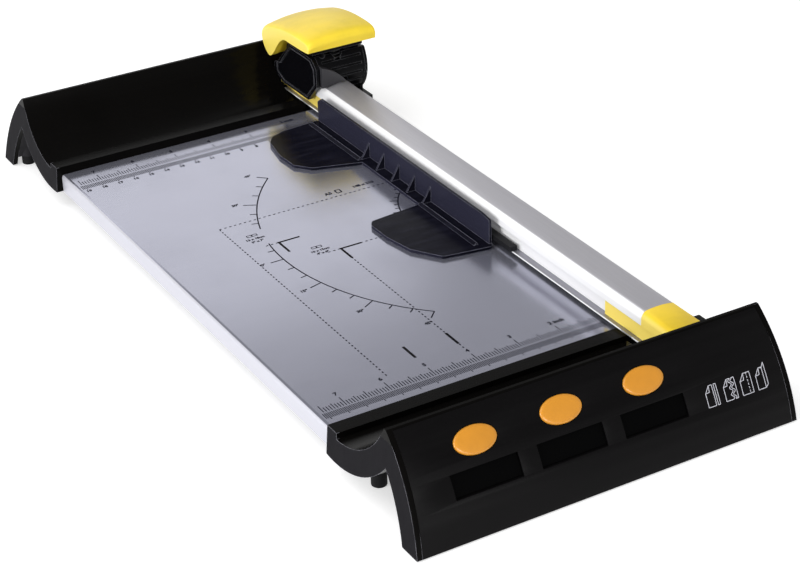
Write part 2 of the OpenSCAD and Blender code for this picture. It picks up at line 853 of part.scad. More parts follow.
module carriage() {
    well_x0 = cart_x0 - slide_gap;
    well_x1 = cart_x1 + slide_gap;
    well_w = 2 * (cart_r + slide_gap);
    color(BLACK) at_head() difference() {
        union() {
            along_x(plate_x1, drum_x1 - plate_x1) head_disc_2d(drum_r);
            box(rail_x1 - hook_in, head_side_x + 1, -hook_len / 2, hook_len / 2, hook_z0, hook_z1);
        }
        difference() {
            box(plate_x1 - 1, head_side_x, -2 * drum_r, 2 * drum_r, 0, roof_z);
            box(rail_x1 - hook_in, head_side_x + 1, -hook_len / 2, hook_len / 2, hook_z0, hook_z1);
        }
        box(well_x0, well_x1, -well_w / 2, well_w / 2, 0, drum_top + 1);
        for (y = stem_y) {
            translate([stem_x, y, 0]) cylinder(h = drum_top + 1, d = yoke_stem_d + stem_play);
            translate([stem_x, y, 0]) cylinder(h = stem_foot + 0.2, d = yoke_stem_d + 2.4);
            translate([spring_x, y, spring_seat]) cylinder(h = drum_r, d = spring_d + 0.8);
        }
        for (i = [0:drum_grooves - 1]) {
            angle = groove_from - i * groove_span / (drum_grooves - 1);
            translate([plate_x1 + 4, drum_r * cos(angle), drum_z + drum_r * sin(angle)])
                rotate([0, 90, 0]) cylinder(h = drum_x1 - plate_x1 - 6, r = groove_r, $fn = 16);
        }
        for (y = [-1, 1]) translate([drum_x1 - 1.8, y * cover_screw_side, cover_screw_z])
            rotate([0, 90, 0]) cylinder(h = 5, d = cover_screw_d + screw_play);
    }
}

module plate_2d(s) {
    outline = [[-19, drum_top + 0.2], [-24.6, drum_z + 7], [-24.6, drum_z - 5], [-12.4, plate_z0],
        [22, plate_z0], [32.5, drum_z - 13], [32.5, drum_z - 6.6], [27.5, drum_z - 5.2],
        [14.5, drum_z + 8.2], [10.5, drum_top + 0.2]];
    mid = [1, drum_z - 3];
    polygon(rounded([for (p = outline) mid + (p - mid) * s], 1.5));
}

module side_plate() {
    color(BLACK) at_head() {
        along_x(plate_x0 + 0.6, plate_t - 0.6) plate_2d(1);
        along_x(plate_x0, 0.7) difference() {
            plate_2d(1);
            plate_2d(0.9);
        }
        along_x(plate_x0 + 0.2, 0.5) plate_2d(0.84);
        box(plate_x1 - 0.5, rail_x0 + hook_in, plate_hook_y - plate_hook_len / 2,
            plate_hook_y + plate_hook_len / 2, hook_z0, hook_z1);
    }
}

module saddle() {
    front_y = -27;
    back_y = -12;
    slant = 4.6;
    hood_r = 42.8;
    hood_left = 15.5;
    hood_rise = 16.4;
    color(MATT) at_head() difference() {
        intersection() {
            translate([0, 0, rail_top + 0.4]) linear_extrude(drum_r) polygon([[plate_x1, front_y],
                [rail_x1, front_y + slant], [rail_x1, back_y], [plate_x1, back_y]]);
            translate([rail_x0 - hood_left, 0, rail_top + hood_rise - hood_r]) rotate([90, 0, 0])
                cylinder(h = 4 * drum_r, r = hood_r, center = true, $fn = 96);
        }
        along_x(plate_x1 - 1, rail_w + 4) translate([0, drum_z]) circle(drum_r + fit, $fn = 96);
        box(plate_x1 - 1, rail_x1 + 2, -drum_r, drum_r, 0, roof_z + 0.2);
    }
}

module glide_pads() {
    color("#d8d8d2") at_head() for (y = pad_y)
        box(rail_x0 + 4, rail_x1 - 4, y - pad_len / 2, y + pad_len / 2, rail_top + pad_gap, roof_z);
}

module end_cover() {
    shoe_z = board_top + 2.2;
    shoe_x1 = drum_x1 + cover_t + 1.4;
    skirt_w = 28;
    shoe_front = 23.8;
    shoe_back = 21;
    shoe_t = 2.4;
    shoe_h = 4.4;
    color(BLACK) at_head() difference() {
        union() {
            along_x(drum_x1, cover_t) {
                head_disc_2d(drum_r + 0.3);
                translate([-skirt_w / 2, shoe_z]) square([skirt_w, drum_z - shoe_z]);
            }
            box(cart_x1 + slide_gap, shoe_x1, -shoe_front, shoe_back, shoe_z, shoe_z + shoe_t);
            box(drum_x1, shoe_x1, -shoe_front, shoe_back, shoe_z, shoe_z + shoe_h);
        }
        along_x(drum_x1 + cover_t - cover_recess, 1) head_disc_2d(drum_r - 1.6);
        for (y = [-1, 1]) translate([drum_x1, y * cover_screw_side, cover_screw_z]) rotate([0, 90, 0]) {
            translate([0, 0, -1]) cylinder(h = cover_t + 2, d = cover_screw_d + screw_play);
            translate([0, 0, cover_t - cover_recess]) cylinder(h = 1, d = cover_screw_head + 0.4);
        }
    }
}

module end_cover_screws() {
    color(STEEL) at_head() for (y = [-1, 1])
        translate([drum_x1, y * cover_screw_side, cover_screw_z]) rotate([0, 90, 0]) {
            translate([0, 0, cover_t - cover_recess]) cylinder(h = 1, d = cover_screw_head);
            translate([0, 0, -1.6]) cylinder(h = cover_t + 1.4, d = cover_screw_d);
        }
}

module handle_spring(i) {
    color(STEEL) at_head() translate([spring_x, stem_y[i], spring_seat + fit / 2])
        ring(yoke_z0 - spring_seat - fit, spring_d, spring_d - 2 * spring_wire - 1);
}

module yoke() {
    color(BLACK) at_head() difference() {
        union() {
            box(plate_x0, cart_x1, -yoke_front, yoke_back, yoke_z0, yoke_z1);
            box(cart_x0, cart_x1, -cart_r, yoke_back, drum_top - 1, yoke_z0 + eps);
            for (y = stem_y) translate([stem_x, y, stem_foot + 0.4])
                cylinder(h = yoke_z0 - stem_foot, d = yoke_stem_d);
        }
        for (y = stem_y) translate([stem_x, y, 0]) cylinder(h = yoke_z0 - 1, d = screw_d + screw_play);
    }
}

module yoke_screws() {
    color(STEEL) at_head() for (y = stem_y)
        screw_up(stem_x, y, stem_foot, yoke_screw_len, yoke_stem_d + 1.6);
}

module blade_cartridge() {
    color(BLACK) at_head() difference() {
        along_x(cart_x0, cart_t) intersection() {
            union() {
                translate([0, axle_z]) circle(cart_r, $fn = 96);
                translate([-cart_r, axle_z]) square([2 * cart_r, drum_top - 1 - axle_z]);
            }
            translate([-cart_r, cart_foot]) square([2 * cart_r, 40]);
        }
        along_x(cut_x - blade_t / 2 - blade_play, blade_t + 2 * blade_play)
            translate([0, axle_z]) circle(blade_d / 2 + 0.6, $fn = 96);
        translate([cart_x0 - 1, 0, axle_z]) rotate([0, 90, 0])
            cylinder(h = cart_t + 2, d = axle_d + axle_play);
    }
}

module blade() {
    color(STEEL) at_head() translate([cut_x - blade_t / 2, 0, axle_z]) rotate([0, 90, 0]) difference() {
        union() {
            cylinder(h = blade_t, d = blade_d - 1.2, $fn = 96);
            translate([0, 0, blade_t / 4]) cylinder(h = blade_t / 2, d = blade_d, $fn = 96);
        }
        translate([0, 0, -1]) cylinder(h = blade_t + 2, d = axle_d + axle_play);
    }
}

module blade_axle() {
    color(STEEL) at_head() translate([cart_x0 + 0.2, 0, axle_z]) rotate([0, 90, 0])
        cylinder(h = cart_t - 0.4, d = axle_d);
}

// Handle: a skin between an upper and a lower curve, crowned across its width
handle_over = [[-25.8, 67.4], [-26.2, 70.8], [-22.5, 73.4], [-8, 73.7], [8, 72.4], [24, 69.2], [36, 64.6],
    [41.4, 59.3], [39, 52.6], [33.5, 48.7], [29.6, 47.7]];
handle_under = [[-25.2, 67], [-21, 66.5], [-14, 66.1], [-6, 65.9], [1, 65.7], [6.5, 65.5], [12.5, 62.4],
    [17.5, 57.5], [21, 53.2], [24.4, 49.8], [27.2, 48]];
// The underside right of the end wall, drawn back so that it clears the drum when pressed
handle_relief = [[-25.2, 67], [-21, 66.5], [-14, 66.1], [-6, 65.9], [1, 65.7], [8, 65.6], [14, 65],
    [18.6, 63.3], [22.6, 59.2], [25.8, 54], [27.8, 48.3]];
handle_wall_slices = 3;
handle_crown = 3;
handle_tilt = 1.8;
handle_round = [4, 1.2];
handle_edge = [0.78, 0.94];
handle_steps = 4;
handle_slices = 16;

function spline(p, i, t) =
    let (n = len(p) - 1, a = p[max(i - 1, 0)], b = p[i], c = p[min(i + 1, n)], d = p[min(i + 2, n)])
    0.5 * (2 * b + (c - a) * t + (2 * a - 5 * b + 4 * c - d) * t * t + (3 * b - a - 3 * c + d) * t * t * t);
function curve(p, steps) =
    [for (i = [0:len(p) - 2], k = [0:steps - 1]) spline(p, i, k / steps), p[len(p) - 1]];
// Share of the handle's thickness left at distance s from its left (0) or right (1) end
function end_share(s, end) = s >= handle_round[end] ? 1
    : handle_edge[end] + (1 - handle_edge[end]) * sqrt(max(0, 1 - pow(1 - s / handle_round[end], 2)));
function slice_x(i) = handle_w * (1 - cos(180 * i / handle_slices)) / 2;

module handle() {
    over = curve(handle_over, handle_steps);
    under_left = curve(handle_under, handle_steps);
    under_right = curve(handle_relief, handle_steps);
    n = len(over);
    lift = drum_top - 60;
    points = [for (i = [0:handle_slices]) let (x = slice_x(i),
            share = min(end_share(x, 0), end_share(handle_w - x, 1)),
            under = i > handle_wall_slices ? under_right : under_left,
            crown = handle_crown * (1 - pow(2 * x / handle_w - 1, 2)) + handle_tilt * x / handle_w)
        each concat(
            [for (p = under) [handle_x0 + x, p[0], p[1] + lift]],
            [for (k = [0:n - 1]) let (q = under[k] + (over[k] - under[k]) * share)
                [handle_x0 + x, q[0], q[1] + lift + crown * sqrt(sin(180 * k / (n - 1))) * share]])];
    ring = 2 * n;
    sides = [for (i = [0:handle_slices - 1], k = [0:n - 2]) each [
        [i * ring + k, (i + 1) * ring + k, (i + 1) * ring + k + 1, i * ring + k + 1],
        [i * ring + n + k, i * ring + n + k + 1, (i + 1) * ring + n + k + 1, (i + 1) * ring + n + k]]];
    brims = [for (i = [0:handle_slices - 1]) each [
        [i * ring, i * ring + n, (i + 1) * ring + n, (i + 1) * ring],
        [i * ring + n - 1, (i + 1) * ring + n - 1, (i + 1) * ring + 2 * n - 1, i * ring + 2 * n - 1]]];
    last = handle_slices * ring;
    ends = [for (k = [0:n - 2]) each [
        [k, k + 1, n + k + 1, n + k],
        [last + k, last + n + k, last + n + k + 1, last + k + 1]]];
    color(YELLOW) at_head() polyhedron(points = points, faces = concat(sides, brims, ends), convexity = 6);
}

// Paper guide

module wing_2d(front) {
    w = wing_reach;
    x = guide_x1;
    outline = front
        ? [[x, -54], [x - 30, -49], [x - 41, -32], [x - w - 1.5, -12], [x - w - 1.5, 5],
            [x - w + 1, 9], [x, 13.4]]
        : [[x, 76], [x - 37, 88.5], [x - w - 1.5, 98], [x - w - 2.2, 115], [x - w + 1.3, 134],
            [x - 37, 140.5], [x - 28, 144.3], [x, 146.3]];
    polygon(rounded([for (p = outline) p + [0, guide_y - 48]], 3));
}

module paper_guide() {
    y0 = guide_y - guide_len / 2;
    y1 = guide_y + guide_len / 2;
    rib_from = guide_y - rib_front;
    rib_to = guide_y + rib_rear;
    top = board_top + guide_rise;
    color(SMOKE, 0.8) {
        along_x(guide_x0, guide_wall_t) polygon(rounded([[y0, guide_z], [y0, top - 1], [y0 + 9, top],
            [y1 - 4, top], [y1, top - 3], [y1, guide_z]], 1.2));
        translate([0, 0, guide_z]) linear_extrude(wing_t) wing_2d(true);
        translate([0, 0, guide_z]) linear_extrude(wing_t) wing_2d(false);
        box(guide_x0 - land_w, guide_x1, rib_from - 6, rib_to, guide_z, wing_z);
        for (i = [0:guide_ribs - 1]) {
            y = rib_from + i * (rib_to - rib_from) / (guide_ribs - 1);
            translate([0, y + guide_rib_t / 2, 0]) rotate([90, 0, 0]) linear_extrude(guide_rib_t)
                polygon([[guide_x0 - rib_foot, wing_z - eps], [guide_x0 + eps, wing_z - eps],
                    [guide_x0 + eps, wing_z + rib_h]]);
        }
        for (span = [[y0 + 3, rib_from], [rib_to, y1 - 3]])
            translate([0, span[1], 0]) rotate([90, 0, 0]) linear_extrude(span[1] - span[0])
                polygon([[guide_x0 - land_w - 1.2, wing_z - eps], [guide_x0 - land_w + 1.6, wing_z - eps],
                    [guide_x0 - land_w + 0.8, wing_z + ridge_h]]);
    }
}

module guide_slider() {
    y0 = guide_y - guide_len / 2;
    color(BLACK) {
        box(guide_x1, rail_x0 + hook_in, y0 + tongue_in, y0 + guide_len - tongue_in,
            tongue_z0, tongue_z0 + tongue_t);
        box(plate_x0, rail_x0 + hook_in, y0 - slider_out, y0 + 2 * tongue_in,
            tongue_z0, plate_z0 - clamp_travel - slide_gap);
    }
}

board();
base_frame();
cutting_mat();
color(BLACK) at_end(-1) housing_shape();  // front_housing
color(BLACK) at_end(-1) fascia_shape(true);  // front_fascia
color(MATT) at_end(-1) belly_shape(true);  // front_belly_cover
color(BLACK) housing_shape();  // rear_housing
color(BLACK) fascia_shape(false);  // rear_fascia
color(MATT) belly_shape(false);  // rear_belly_cover
tray(bay_x[0]);  // tray_left
tray(bay_x[1]);  // tray_middle
tray(bay_x[2]);  // tray_right
foot(foot_xs[0], foot_y, foot_h, -1);  // foot_front_left
foot(foot_xs[1], foot_y, foot_h, -1);  // foot_front_right
foot(foot_xs[0], foot_y, foot_h, 1);  // foot_rear_left
foot(foot_xs[1], foot_y, foot_h, 1);  // foot_rear_right
foot(leg_foot_xs[0], leg_foot_y, leg_foot_h, -1);  // leg_foot_front_left
foot(leg_foot_xs[1], leg_foot_y, leg_foot_h, -1);  // leg_foot_front_right
foot(leg_foot_xs[0], leg_foot_y, leg_foot_h, 1);  // leg_foot_rear_left
foot(leg_foot_xs[1], leg_foot_y, leg_foot_h, 1);  // leg_foot_rear_right
bumper(-1);  // bumper_front
bumper(1);  // bumper_rear
frame_screws();
cover_screws();
rail_spring(-1);  // rail_spring_front
rail_spring(1);  // rail_spring_rear
button_spring(bay_x[0]);  // button_spring_left
button_spring(bay_x[1]);  // button_spring_middle
button_spring(bay_x[2]);  // button_spring_right
button(bay_x[0]);  // button_left
button(bay_x[1]);  // button_middle
button(bay_x[2]);  // button_right
spare_cartridge(bay_x[0]);  // spare_cartridge_left
spare_cartridge(bay_x[1]);  // spare_cartridge_middle
spare_cartridge(bay_x[2]);  // spare_cartridge_right
spare_blade(bay_x[0]);  // spare_blade_left
spare_blade(bay_x[1]);  // spare_blade_middle
spare_blade(bay_x[2]);  // spare_blade_right
rail();
rail_cap(-1);  // rail_cap_front
rail_cap(1);  // rail_cap_rear
clamp_strip();
grip_strip();
rail_screws();
carriage();
side_plate();
saddle();
glide_pads();
end_cover();
end_cover_screws();
handle_spring(0);  // handle_spring_front
handle_spring(1);  // handle_spring_rear
handle();
yoke();
yoke_screws();
blade_cartridge();
blade();
blade_axle();
paper_guide();
guide_slider();
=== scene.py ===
"""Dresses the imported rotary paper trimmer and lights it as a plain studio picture.

Sizes are written in millimetres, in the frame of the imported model, and become metres in the
meshes. Each sub-assembly of the trimmer is a class; main() builds them in order.
"""

from __future__ import annotations

import logging
import math
from dataclasses import dataclass, field
from enum import Enum
from typing import Callable, Iterable, Sequence

import bpy
from mathutils import Matrix, Vector
from mathutils.geometry import tessellate_polygon

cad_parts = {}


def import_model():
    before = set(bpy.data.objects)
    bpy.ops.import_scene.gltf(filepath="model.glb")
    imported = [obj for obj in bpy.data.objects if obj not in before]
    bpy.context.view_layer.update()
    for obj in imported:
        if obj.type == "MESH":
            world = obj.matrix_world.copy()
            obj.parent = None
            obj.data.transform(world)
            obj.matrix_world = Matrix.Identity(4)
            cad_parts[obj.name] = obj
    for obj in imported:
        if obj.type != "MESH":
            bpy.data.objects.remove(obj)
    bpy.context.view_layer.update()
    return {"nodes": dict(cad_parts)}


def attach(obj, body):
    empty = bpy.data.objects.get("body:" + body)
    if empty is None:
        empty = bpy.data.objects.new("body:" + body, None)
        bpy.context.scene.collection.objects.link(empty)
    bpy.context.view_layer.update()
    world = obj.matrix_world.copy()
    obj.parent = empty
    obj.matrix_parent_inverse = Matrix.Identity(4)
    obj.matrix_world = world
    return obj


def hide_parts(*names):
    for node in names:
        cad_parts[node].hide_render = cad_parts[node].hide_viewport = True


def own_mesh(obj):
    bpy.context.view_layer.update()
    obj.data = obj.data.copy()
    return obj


LOG = logging.getLogger("trimmer")
MM = 0.001
INCH = 25.4

# Middles of the spare-blade bays across the machine, and the distance between them.
BAYS = {"left": -65.0, "middle": -17.9, "right": 29.2}
BAY_PITCH = 47.1
# The cut line and the middle of the rail across the machine.
CUT_X = 91.4
RAIL_X = 75.0
# The rail's guide posts, the parked head, and the handle's stems from the head's middle.
POST_Y = 197.0
PARK_Y = 176.6
STEM_Y = (-15.0, 3.0)
# The panel's arc: its centre, as a distance along the machine and a height, and its radius.
PANEL_CENTRE = (163.1, -20.4)
PANEL_RADIUS = 92.6
WALL = 2.6
# The buttons stand at an angle up that arc; their flange lies inside the panel's wall.
BUTTON_ANGLE = 40.8
BUTTON_TRAVEL = 2.2
FLANGE_GAP = 0.8
FLANGE_T = 1.6
FIT = 0.1

Pair = tuple[float, float]
Point2 = tuple[float, float]
Point3 = tuple[float, float, float]
Colour = tuple[float, float, float]


class End(Enum):
    """The end of the machine that a piece belongs to, as the sign of Y."""

    FRONT = -1
    REAR = 1


class Axis(Enum):
    """The direction in which a metal was brushed."""

    X = 0
    Y = 1
    Z = 2


# Shader wiring


class Wires:
    """Adds and links nodes in one shader tree."""

    def __init__(self, tree: bpy.types.NodeTree) -> None:
        """Keeps the tree that is being wired."""
        self.tree = tree

    def feed(self, socket: bpy.types.NodeSocket, value: object) -> None:
        """Links a socket, or sets its plain value.

        Args:
            socket: The input to feed.
            value: An output socket, or a number, colour or vector.
        """
        if isinstance(value, bpy.types.NodeSocket):
            self.tree.links.new(value, socket)
        else:
            socket.default_value = value

    def add(self, kind: str, sockets: dict | None = None, **settings: object) -> bpy.types.Node:
        """Adds a node.

        Args:
            kind: The node's type name.
            sockets: Values or links for its inputs, by name or number.
            **settings: Properties of the node itself.

        Returns:
            The new node.
        """
        node = self.tree.nodes.new(kind)
        for key, value in settings.items():
            setattr(node, key, value)
        self.feed_all(node, sockets or {})
        return node

    def feed_all(self, node: bpy.types.Node, sockets: dict) -> None:
        """Feeds several inputs of a node, by name or number."""
        for key, value in sockets.items():
            self.feed(node.inputs[key], value)

    def maths(self, operation: str, *values: object, clamp: bool = False) -> bpy.types.NodeSocket:
        """Adds a Math node.

        Args:
            operation: What it works out.
            *values: Its inputs, each a number or a link.
            clamp: Whether the result is kept within 0 and 1.

        Returns:
            Its output.
        """
        node = self.add("ShaderNodeMath", operation=operation, use_clamp=clamp)
        for socket, value in zip(node.inputs, values):
            self.feed(socket, value)
        return node.outputs[0]

    def remap(self, value: object, low: float, high: float, to_low: float = 0.0,
              to_high: float = 1.0) -> bpy.types.NodeSocket:
        """Maps one range of a value to another, and holds it there.

        Args:
            value: The value.
            low: Start of its range.
            high: End of its range.
            to_low: What the start becomes.
            to_high: What the end becomes.

        Returns:
            The mapped value.
        """
        node = self.add("ShaderNodeMapRange", {"Value": value, "From Min": low, "From Max": high,
                                               "To Min": to_low, "To Max": to_high})
        return node.outputs[0]

    def blend(self, share: object, first: object, second: object) -> bpy.types.NodeSocket:
        """Mixes two colours by a share and returns the mixed colour."""
        node = self.add("ShaderNodeMix", {0: share, 6: first, 7: second}, data_type="RGBA")
        return node.outputs[2]

    def part(self, vector: object, axis: str) -> bpy.types.NodeSocket:
        """Returns one coordinate of a vector."""
        return self.add("ShaderNodeSeparateXYZ", {0: vector}).outputs[axis]

    def bump(self, height: object, strength: float, depth_mm: float) -> bpy.types.NodeSocket:
        """Turns a height into a surface normal and returns it."""
        return self.add("ShaderNodeBump", {"Strength": strength, "Distance": depth_mm * MM,
                                           "Height": height}).outputs[0]


def rgba(colour: Colour) -> tuple[float, float, float, float]:
    """A colour with full alpha."""
    return (*colour, 1.0)


def toned(colour: Colour, factor: float, lift: float = 0.0) -> tuple[float, float, float, float]:
    """A colour made lighter or darker, with full alpha."""
    return rgba(tuple(min(1.0, channel * factor + lift) for channel in colour))


def start_material(name: str) -> tuple[bpy.types.Material, Wires, bpy.types.Node]:
    """Starts a material.

    Args:
        name: Its name.

    Returns:
        The material, its wiring and its Principled shader.
    """
    material = bpy.data.materials.new(name)
    material.use_nodes = True
    return material, Wires(material.node_tree), material.node_tree.nodes["Principled BSDF"]


class Effect(Enum):
    """The effects that several materials share, each a node group."""

    GRAIN = "moulded_grain"
    SMUDGE = "handling_smudge"
    # Worn edges, also used to paint highlights along edges.
    WEAR = "edge_wear"
    BRUSH = "brushed_streaks"
    DUST = "settled_dust"
    # Faces that look left or right, which materials paint paler as light from the side.
    SIDES = "end_faces"


@dataclass
class EffectLibrary:
    """Builds each shared effect once and places it in materials."""

    made: dict[Effect, bpy.types.NodeTree] = field(default_factory=dict)

    def place(self, wires: Wires, effect: Effect, **values: object) -> bpy.types.Node:
        """Places an effect in a material.

        Args:
            wires: The material's wiring.
            effect: Which effect.
            **values: Its inputs, by name.

        Returns:
            The group node.
        """
        if effect not in self.made:
            self.made[effect] = getattr(self, f"_{effect.name.lower()}")(effect.value)
        return wires.add("ShaderNodeGroup", values, node_tree=self.made[effect])

    @staticmethod
    def _begin(name: str, inputs: dict[str, object], outputs: Sequence[str]
               ) -> tuple[Wires, bpy.types.Node, bpy.types.Node]:
        """Starts a group.

        Args:
            name: Its name.
            inputs: Its inputs, each with the number or vector that it starts from.
            outputs: Its outputs, which are numbers.

        Returns:
            The group's wiring, its input node and its output node.
        """
        tree = bpy.data.node_groups.new(name, "ShaderNodeTree")
        for label, value in inputs.items():
            kind = "NodeSocketFloat" if isinstance(value, (int, float)) else "NodeSocketVector"
            socket = tree.interface.new_socket(name=label, in_out="INPUT", socket_type=kind)
            socket.default_value = value
        for label in outputs:
            tree.interface.new_socket(name=label, in_out="OUTPUT", socket_type="NodeSocketFloat")
        wires = Wires(tree)
        return wires, wires.add("NodeGroupInput"), wires.add("NodeGroupOutput")

    @staticmethod
    def _noise(wires: Wires, size_mm: object, detail: float, roughness: float = 0.5,
               vector: object = None) -> bpy.types.NodeSocket:
        """Noise that stays with the piece.

        Args:
            wires: The group's wiring.
            size_mm: Width of its features.
            detail: How many finer layers it has.
            roughness: How strong the finer layers are.
            vector: Where it is read, or None for the piece's own coordinates.

        Returns:
            The noise.
        """
        place = vector or wires.add("ShaderNodeTexCoord").outputs["Object"]
        scale = wires.maths("DIVIDE", 1000.0, size_mm)
        return wires.add("ShaderNodeTexNoise", {"Vector": place, "Scale": scale, "Detail": detail,
                                                "Roughness": roughness}).outputs[0]

    def _grain(self, name: str) -> bpy.types.NodeTree:
        """Fine pitted texture of a mould, as a height.

        Args:
            name: The group's name.

        Returns:
            The group.
        """
        wires, source, sink = self._begin(name, {"Size": 0.6}, ("Height", "Fleck"))
        fine = self._noise(wires, source.outputs["Size"], 3.0, 0.55)
        wires.feed(sink.inputs["Height"], wires.remap(fine, 0.32, 0.68))
        wires.feed(sink.inputs["Fleck"], wires.remap(fine, 0.58, 0.72))
        return wires.tree

    def _smudge(self, name: str) -> bpy.types.NodeTree:
        """Broad, soft patches left by handling and wiping.

        Args:
            name: The group's name.

        Returns:
            The group.
        """
        wires, source, sink = self._begin(name, {"Size": 40.0}, ("Mask", "Streak"))
        place = wires.add("ShaderNodeTexCoord").outputs["Object"]
        broad = self._noise(wires, source.outputs["Size"], 4.0, 0.6, place)
        wiped = wires.add("ShaderNodeMapping", {"Vector": place, "Rotation": (0.2, 0.1, 0.5),
                                                "Scale": (1.0, 7.0, 3.0)}).outputs[0]
        lines = self._noise(wires, source.outputs["Size"], 6.0, 0.7, wiped)
        wires.feed(sink.inputs["Mask"], wires.remap(broad, 0.42, 0.7))
        wires.feed(sink.inputs["Streak"], wires.remap(lines, 0.45, 0.75))
        return wires.tree

    def _wear(self, name: str) -> bpy.types.NodeTree:
        """Rubbed edges together with painted edge highlights: where a rounded normal leaves the
        face's own normal.

        Args:
            name: The group's name.

        Returns:
            The group.
        """
        wires, source, sink = self._begin(name, {"Radius": 0.5, "Amount": 0.5}, ("Mask",))
        radius = wires.maths("MULTIPLY", source.outputs["Radius"], MM)
        soft = wires.add("ShaderNodeBevel", {"Radius": radius}, samples=4).outputs[0]
        own = wires.add("ShaderNodeNewGeometry").outputs["Normal"]
        dot = wires.add("ShaderNodeVectorMath", {0: soft, 1: own}, operation="DOT_PRODUCT")
        edge = wires.remap(dot.outputs["Value"], 0.995, 0.86)
        patch = wires.remap(self._noise(wires, 9.0, 5.0, 0.65), 0.38, 0.66, 0.4, 1.0)
        worn_and_lit = wires.maths("MULTIPLY", wires.maths("MULTIPLY", edge, patch),
                           source.outputs["Amount"], clamp=True)
        wires.feed(sink.inputs["Mask"], worn_and_lit)
        return wires.tree

    def _brush(self, name: str) -> bpy.types.NodeTree:
        """Fine parallel scratches: Stretch is small along the brushing.

        Args:
            name: The group's name.

        Returns:
            The group.
        """
        wires, source, sink = self._begin(name, {"Stretch": (1.0, 0.02, 1.0), "Size": 0.4},
                                          ("Streak", "Band"))
        place = wires.add("ShaderNodeTexCoord").outputs["Object"]
        along = wires.add("ShaderNodeMapping", {"Vector": place,
                                                "Scale": source.outputs["Stretch"]}).outputs[0]
        wires.feed(sink.inputs["Streak"],
                   self._noise(wires, source.outputs["Size"], 4.0, 0.7, along))
        broad = wires.maths("MULTIPLY", source.outputs["Size"], 14.0)
        wires.feed(sink.inputs["Band"], self._noise(wires, broad, 2.0, 0.5, along))
        return wires.tree

    def _dust(self, name: str) -> bpy.types.NodeTree:
        """Fine dust on faces that look up.

        Args:
            name: The group's name.

        Returns:
            The group.
        """
        wires, source, sink = self._begin(name, {"Amount": 0.3}, ("Mask",))
        normal = wires.add("ShaderNodeNewGeometry").outputs["Normal"]
        specks = wires.remap(self._noise(wires, 1.4, 6.0, 0.7), 0.5, 0.75)
        film = wires.remap(self._noise(wires, 55.0, 3.0), 0.3, 0.8, 0.25, 1.0)
        facing_up = wires.remap(wires.part(normal, "Z"), 0.3, 1.0)
        lying = wires.maths("MULTIPLY", facing_up, wires.maths("ADD", specks, 0.25))
        wires.feed(sink.inputs["Mask"],
                   wires.maths("MULTIPLY", wires.maths("MULTIPLY", lying, film),
                               source.outputs["Amount"], clamp=True))
        return wires.tree

    def _sides(self, name: str) -> bpy.types.NodeTree:
        """Mask of the faces that look to the left or right, from a distance off the middle;
        materials use it to paint those faces paler, as painted light from the side.

        Args:
            name: The group's name.

        Returns:
            The group.
        """
        wires, source, sink = self._begin(name, {"Sharpness": 1.0, "Beyond": 0.0},
                                          ("Mask", "Outside"))
        surface = wires.add("ShaderNodeNewGeometry").outputs
        across = wires.maths("ABSOLUTE", wires.part(surface["Normal"], "X"))
        size = wires.maths("MULTIPLY", across, source.outputs["Sharpness"])
        off = wires.maths("ABSOLUTE", wires.part(surface["Position"], "X"))
        limit = wires.maths("MULTIPLY", source.outputs["Beyond"], MM)
        outside = wires.maths("GREATER_THAN", off, limit)
        wires.feed(sink.inputs["Outside"], outside)
        wires.feed(sink.inputs["Mask"],
                   wires.maths("MULTIPLY", wires.remap(size, 0.72, 0.92), outside))
        return wires.tree


EFFECTS = EffectLibrary()
DUST_COLOUR = (0.45, 0.44, 0.42)


# Finishes


@dataclass(frozen=True)
class MouldedPlastic:
    """An injection-moulded plastic with grain, handling marks, worn edges and dust, with painted
    highlights on its edges and painted light on its end faces.
    """

    name: str
    colour: Colour
    roughness: float
    specular: float = 0.4
    grain_mm: float = 0.7
    grain_depth: float = 0.012
    smudge: float = 0.1
    # Edge wear, which also paints highlights along the edges, and the colour of those edges.
    wear: float = 0.25
    wear_colour: Colour = (0.25, 0.25, 0.27)
    dust: float = 0.05
    coat: float = 0.0
    # Paler colour of the end faces: painted light from the side. Their roughness below is real.
    end_colour: Colour | None = None
    end_roughness: float = 0.6
    end_beyond: float = 0.0

    def make(self) -> bpy.types.Material:
        """Builds the material.

        Returns:
            The finished material.
        """
        material, wires, shader = start_material(self.name)
        grain = EFFECTS.place(wires, Effect.GRAIN, Size=self.grain_mm)
        smudge = EFFECTS.place(wires, Effect.SMUDGE, Size=38.0)
        wear = EFFECTS.place(wires, Effect.WEAR, Radius=0.45, Amount=self.wear)
        dust = EFFECTS.place(wires, Effect.DUST, Amount=self.dust)
        colour = wires.blend(smudge.outputs["Mask"], rgba(self.colour), toned(self.colour, 0.82))
        rough = wires.maths("MULTIPLY_ADD", smudge.outputs["Streak"], self.smudge, self.roughness)
        worn_and_lit = wear.outputs["Mask"]
        # Painted light: faces that look left or right get a paler colour, as if lit from the side;
        # their rougher finish is real.
        if self.end_colour:
            sides = EFFECTS.place(wires, Effect.SIDES, Beyond=self.end_beyond)
            mask = sides.outputs["Mask"]
            colour = wires.blend(mask, colour, rgba(self.end_colour))
            matt = wires.maths("MULTIPLY", mask, self.end_roughness - self.roughness)
            rough = wires.maths("ADD", rough, matt)
            # The worn, painted-highlight edges are kept only beyond end_beyond from the middle.
            worn_and_lit = wires.maths("MULTIPLY", worn_and_lit, sides.outputs["Outside"])
        # Lighter edges: real wear together with a painted highlight.
        colour = wires.blend(worn_and_lit, colour, rgba(self.wear_colour))
        colour = wires.blend(dust.outputs["Mask"], colour, rgba(DUST_COLOUR))
        rough = wires.maths("ADD", rough, wires.maths("MULTIPLY", dust.outputs["Mask"], 0.3),
                            clamp=True)
        wires.feed_all(shader, {
            "Base Color": colour, "Roughness": rough, "Specular IOR Level": self.specular,
            "Normal": wires.bump(grain.outputs["Height"], 0.6, self.grain_depth),
            "Coat Weight": self.coat, "Coat Roughness": 0.12})
        return material


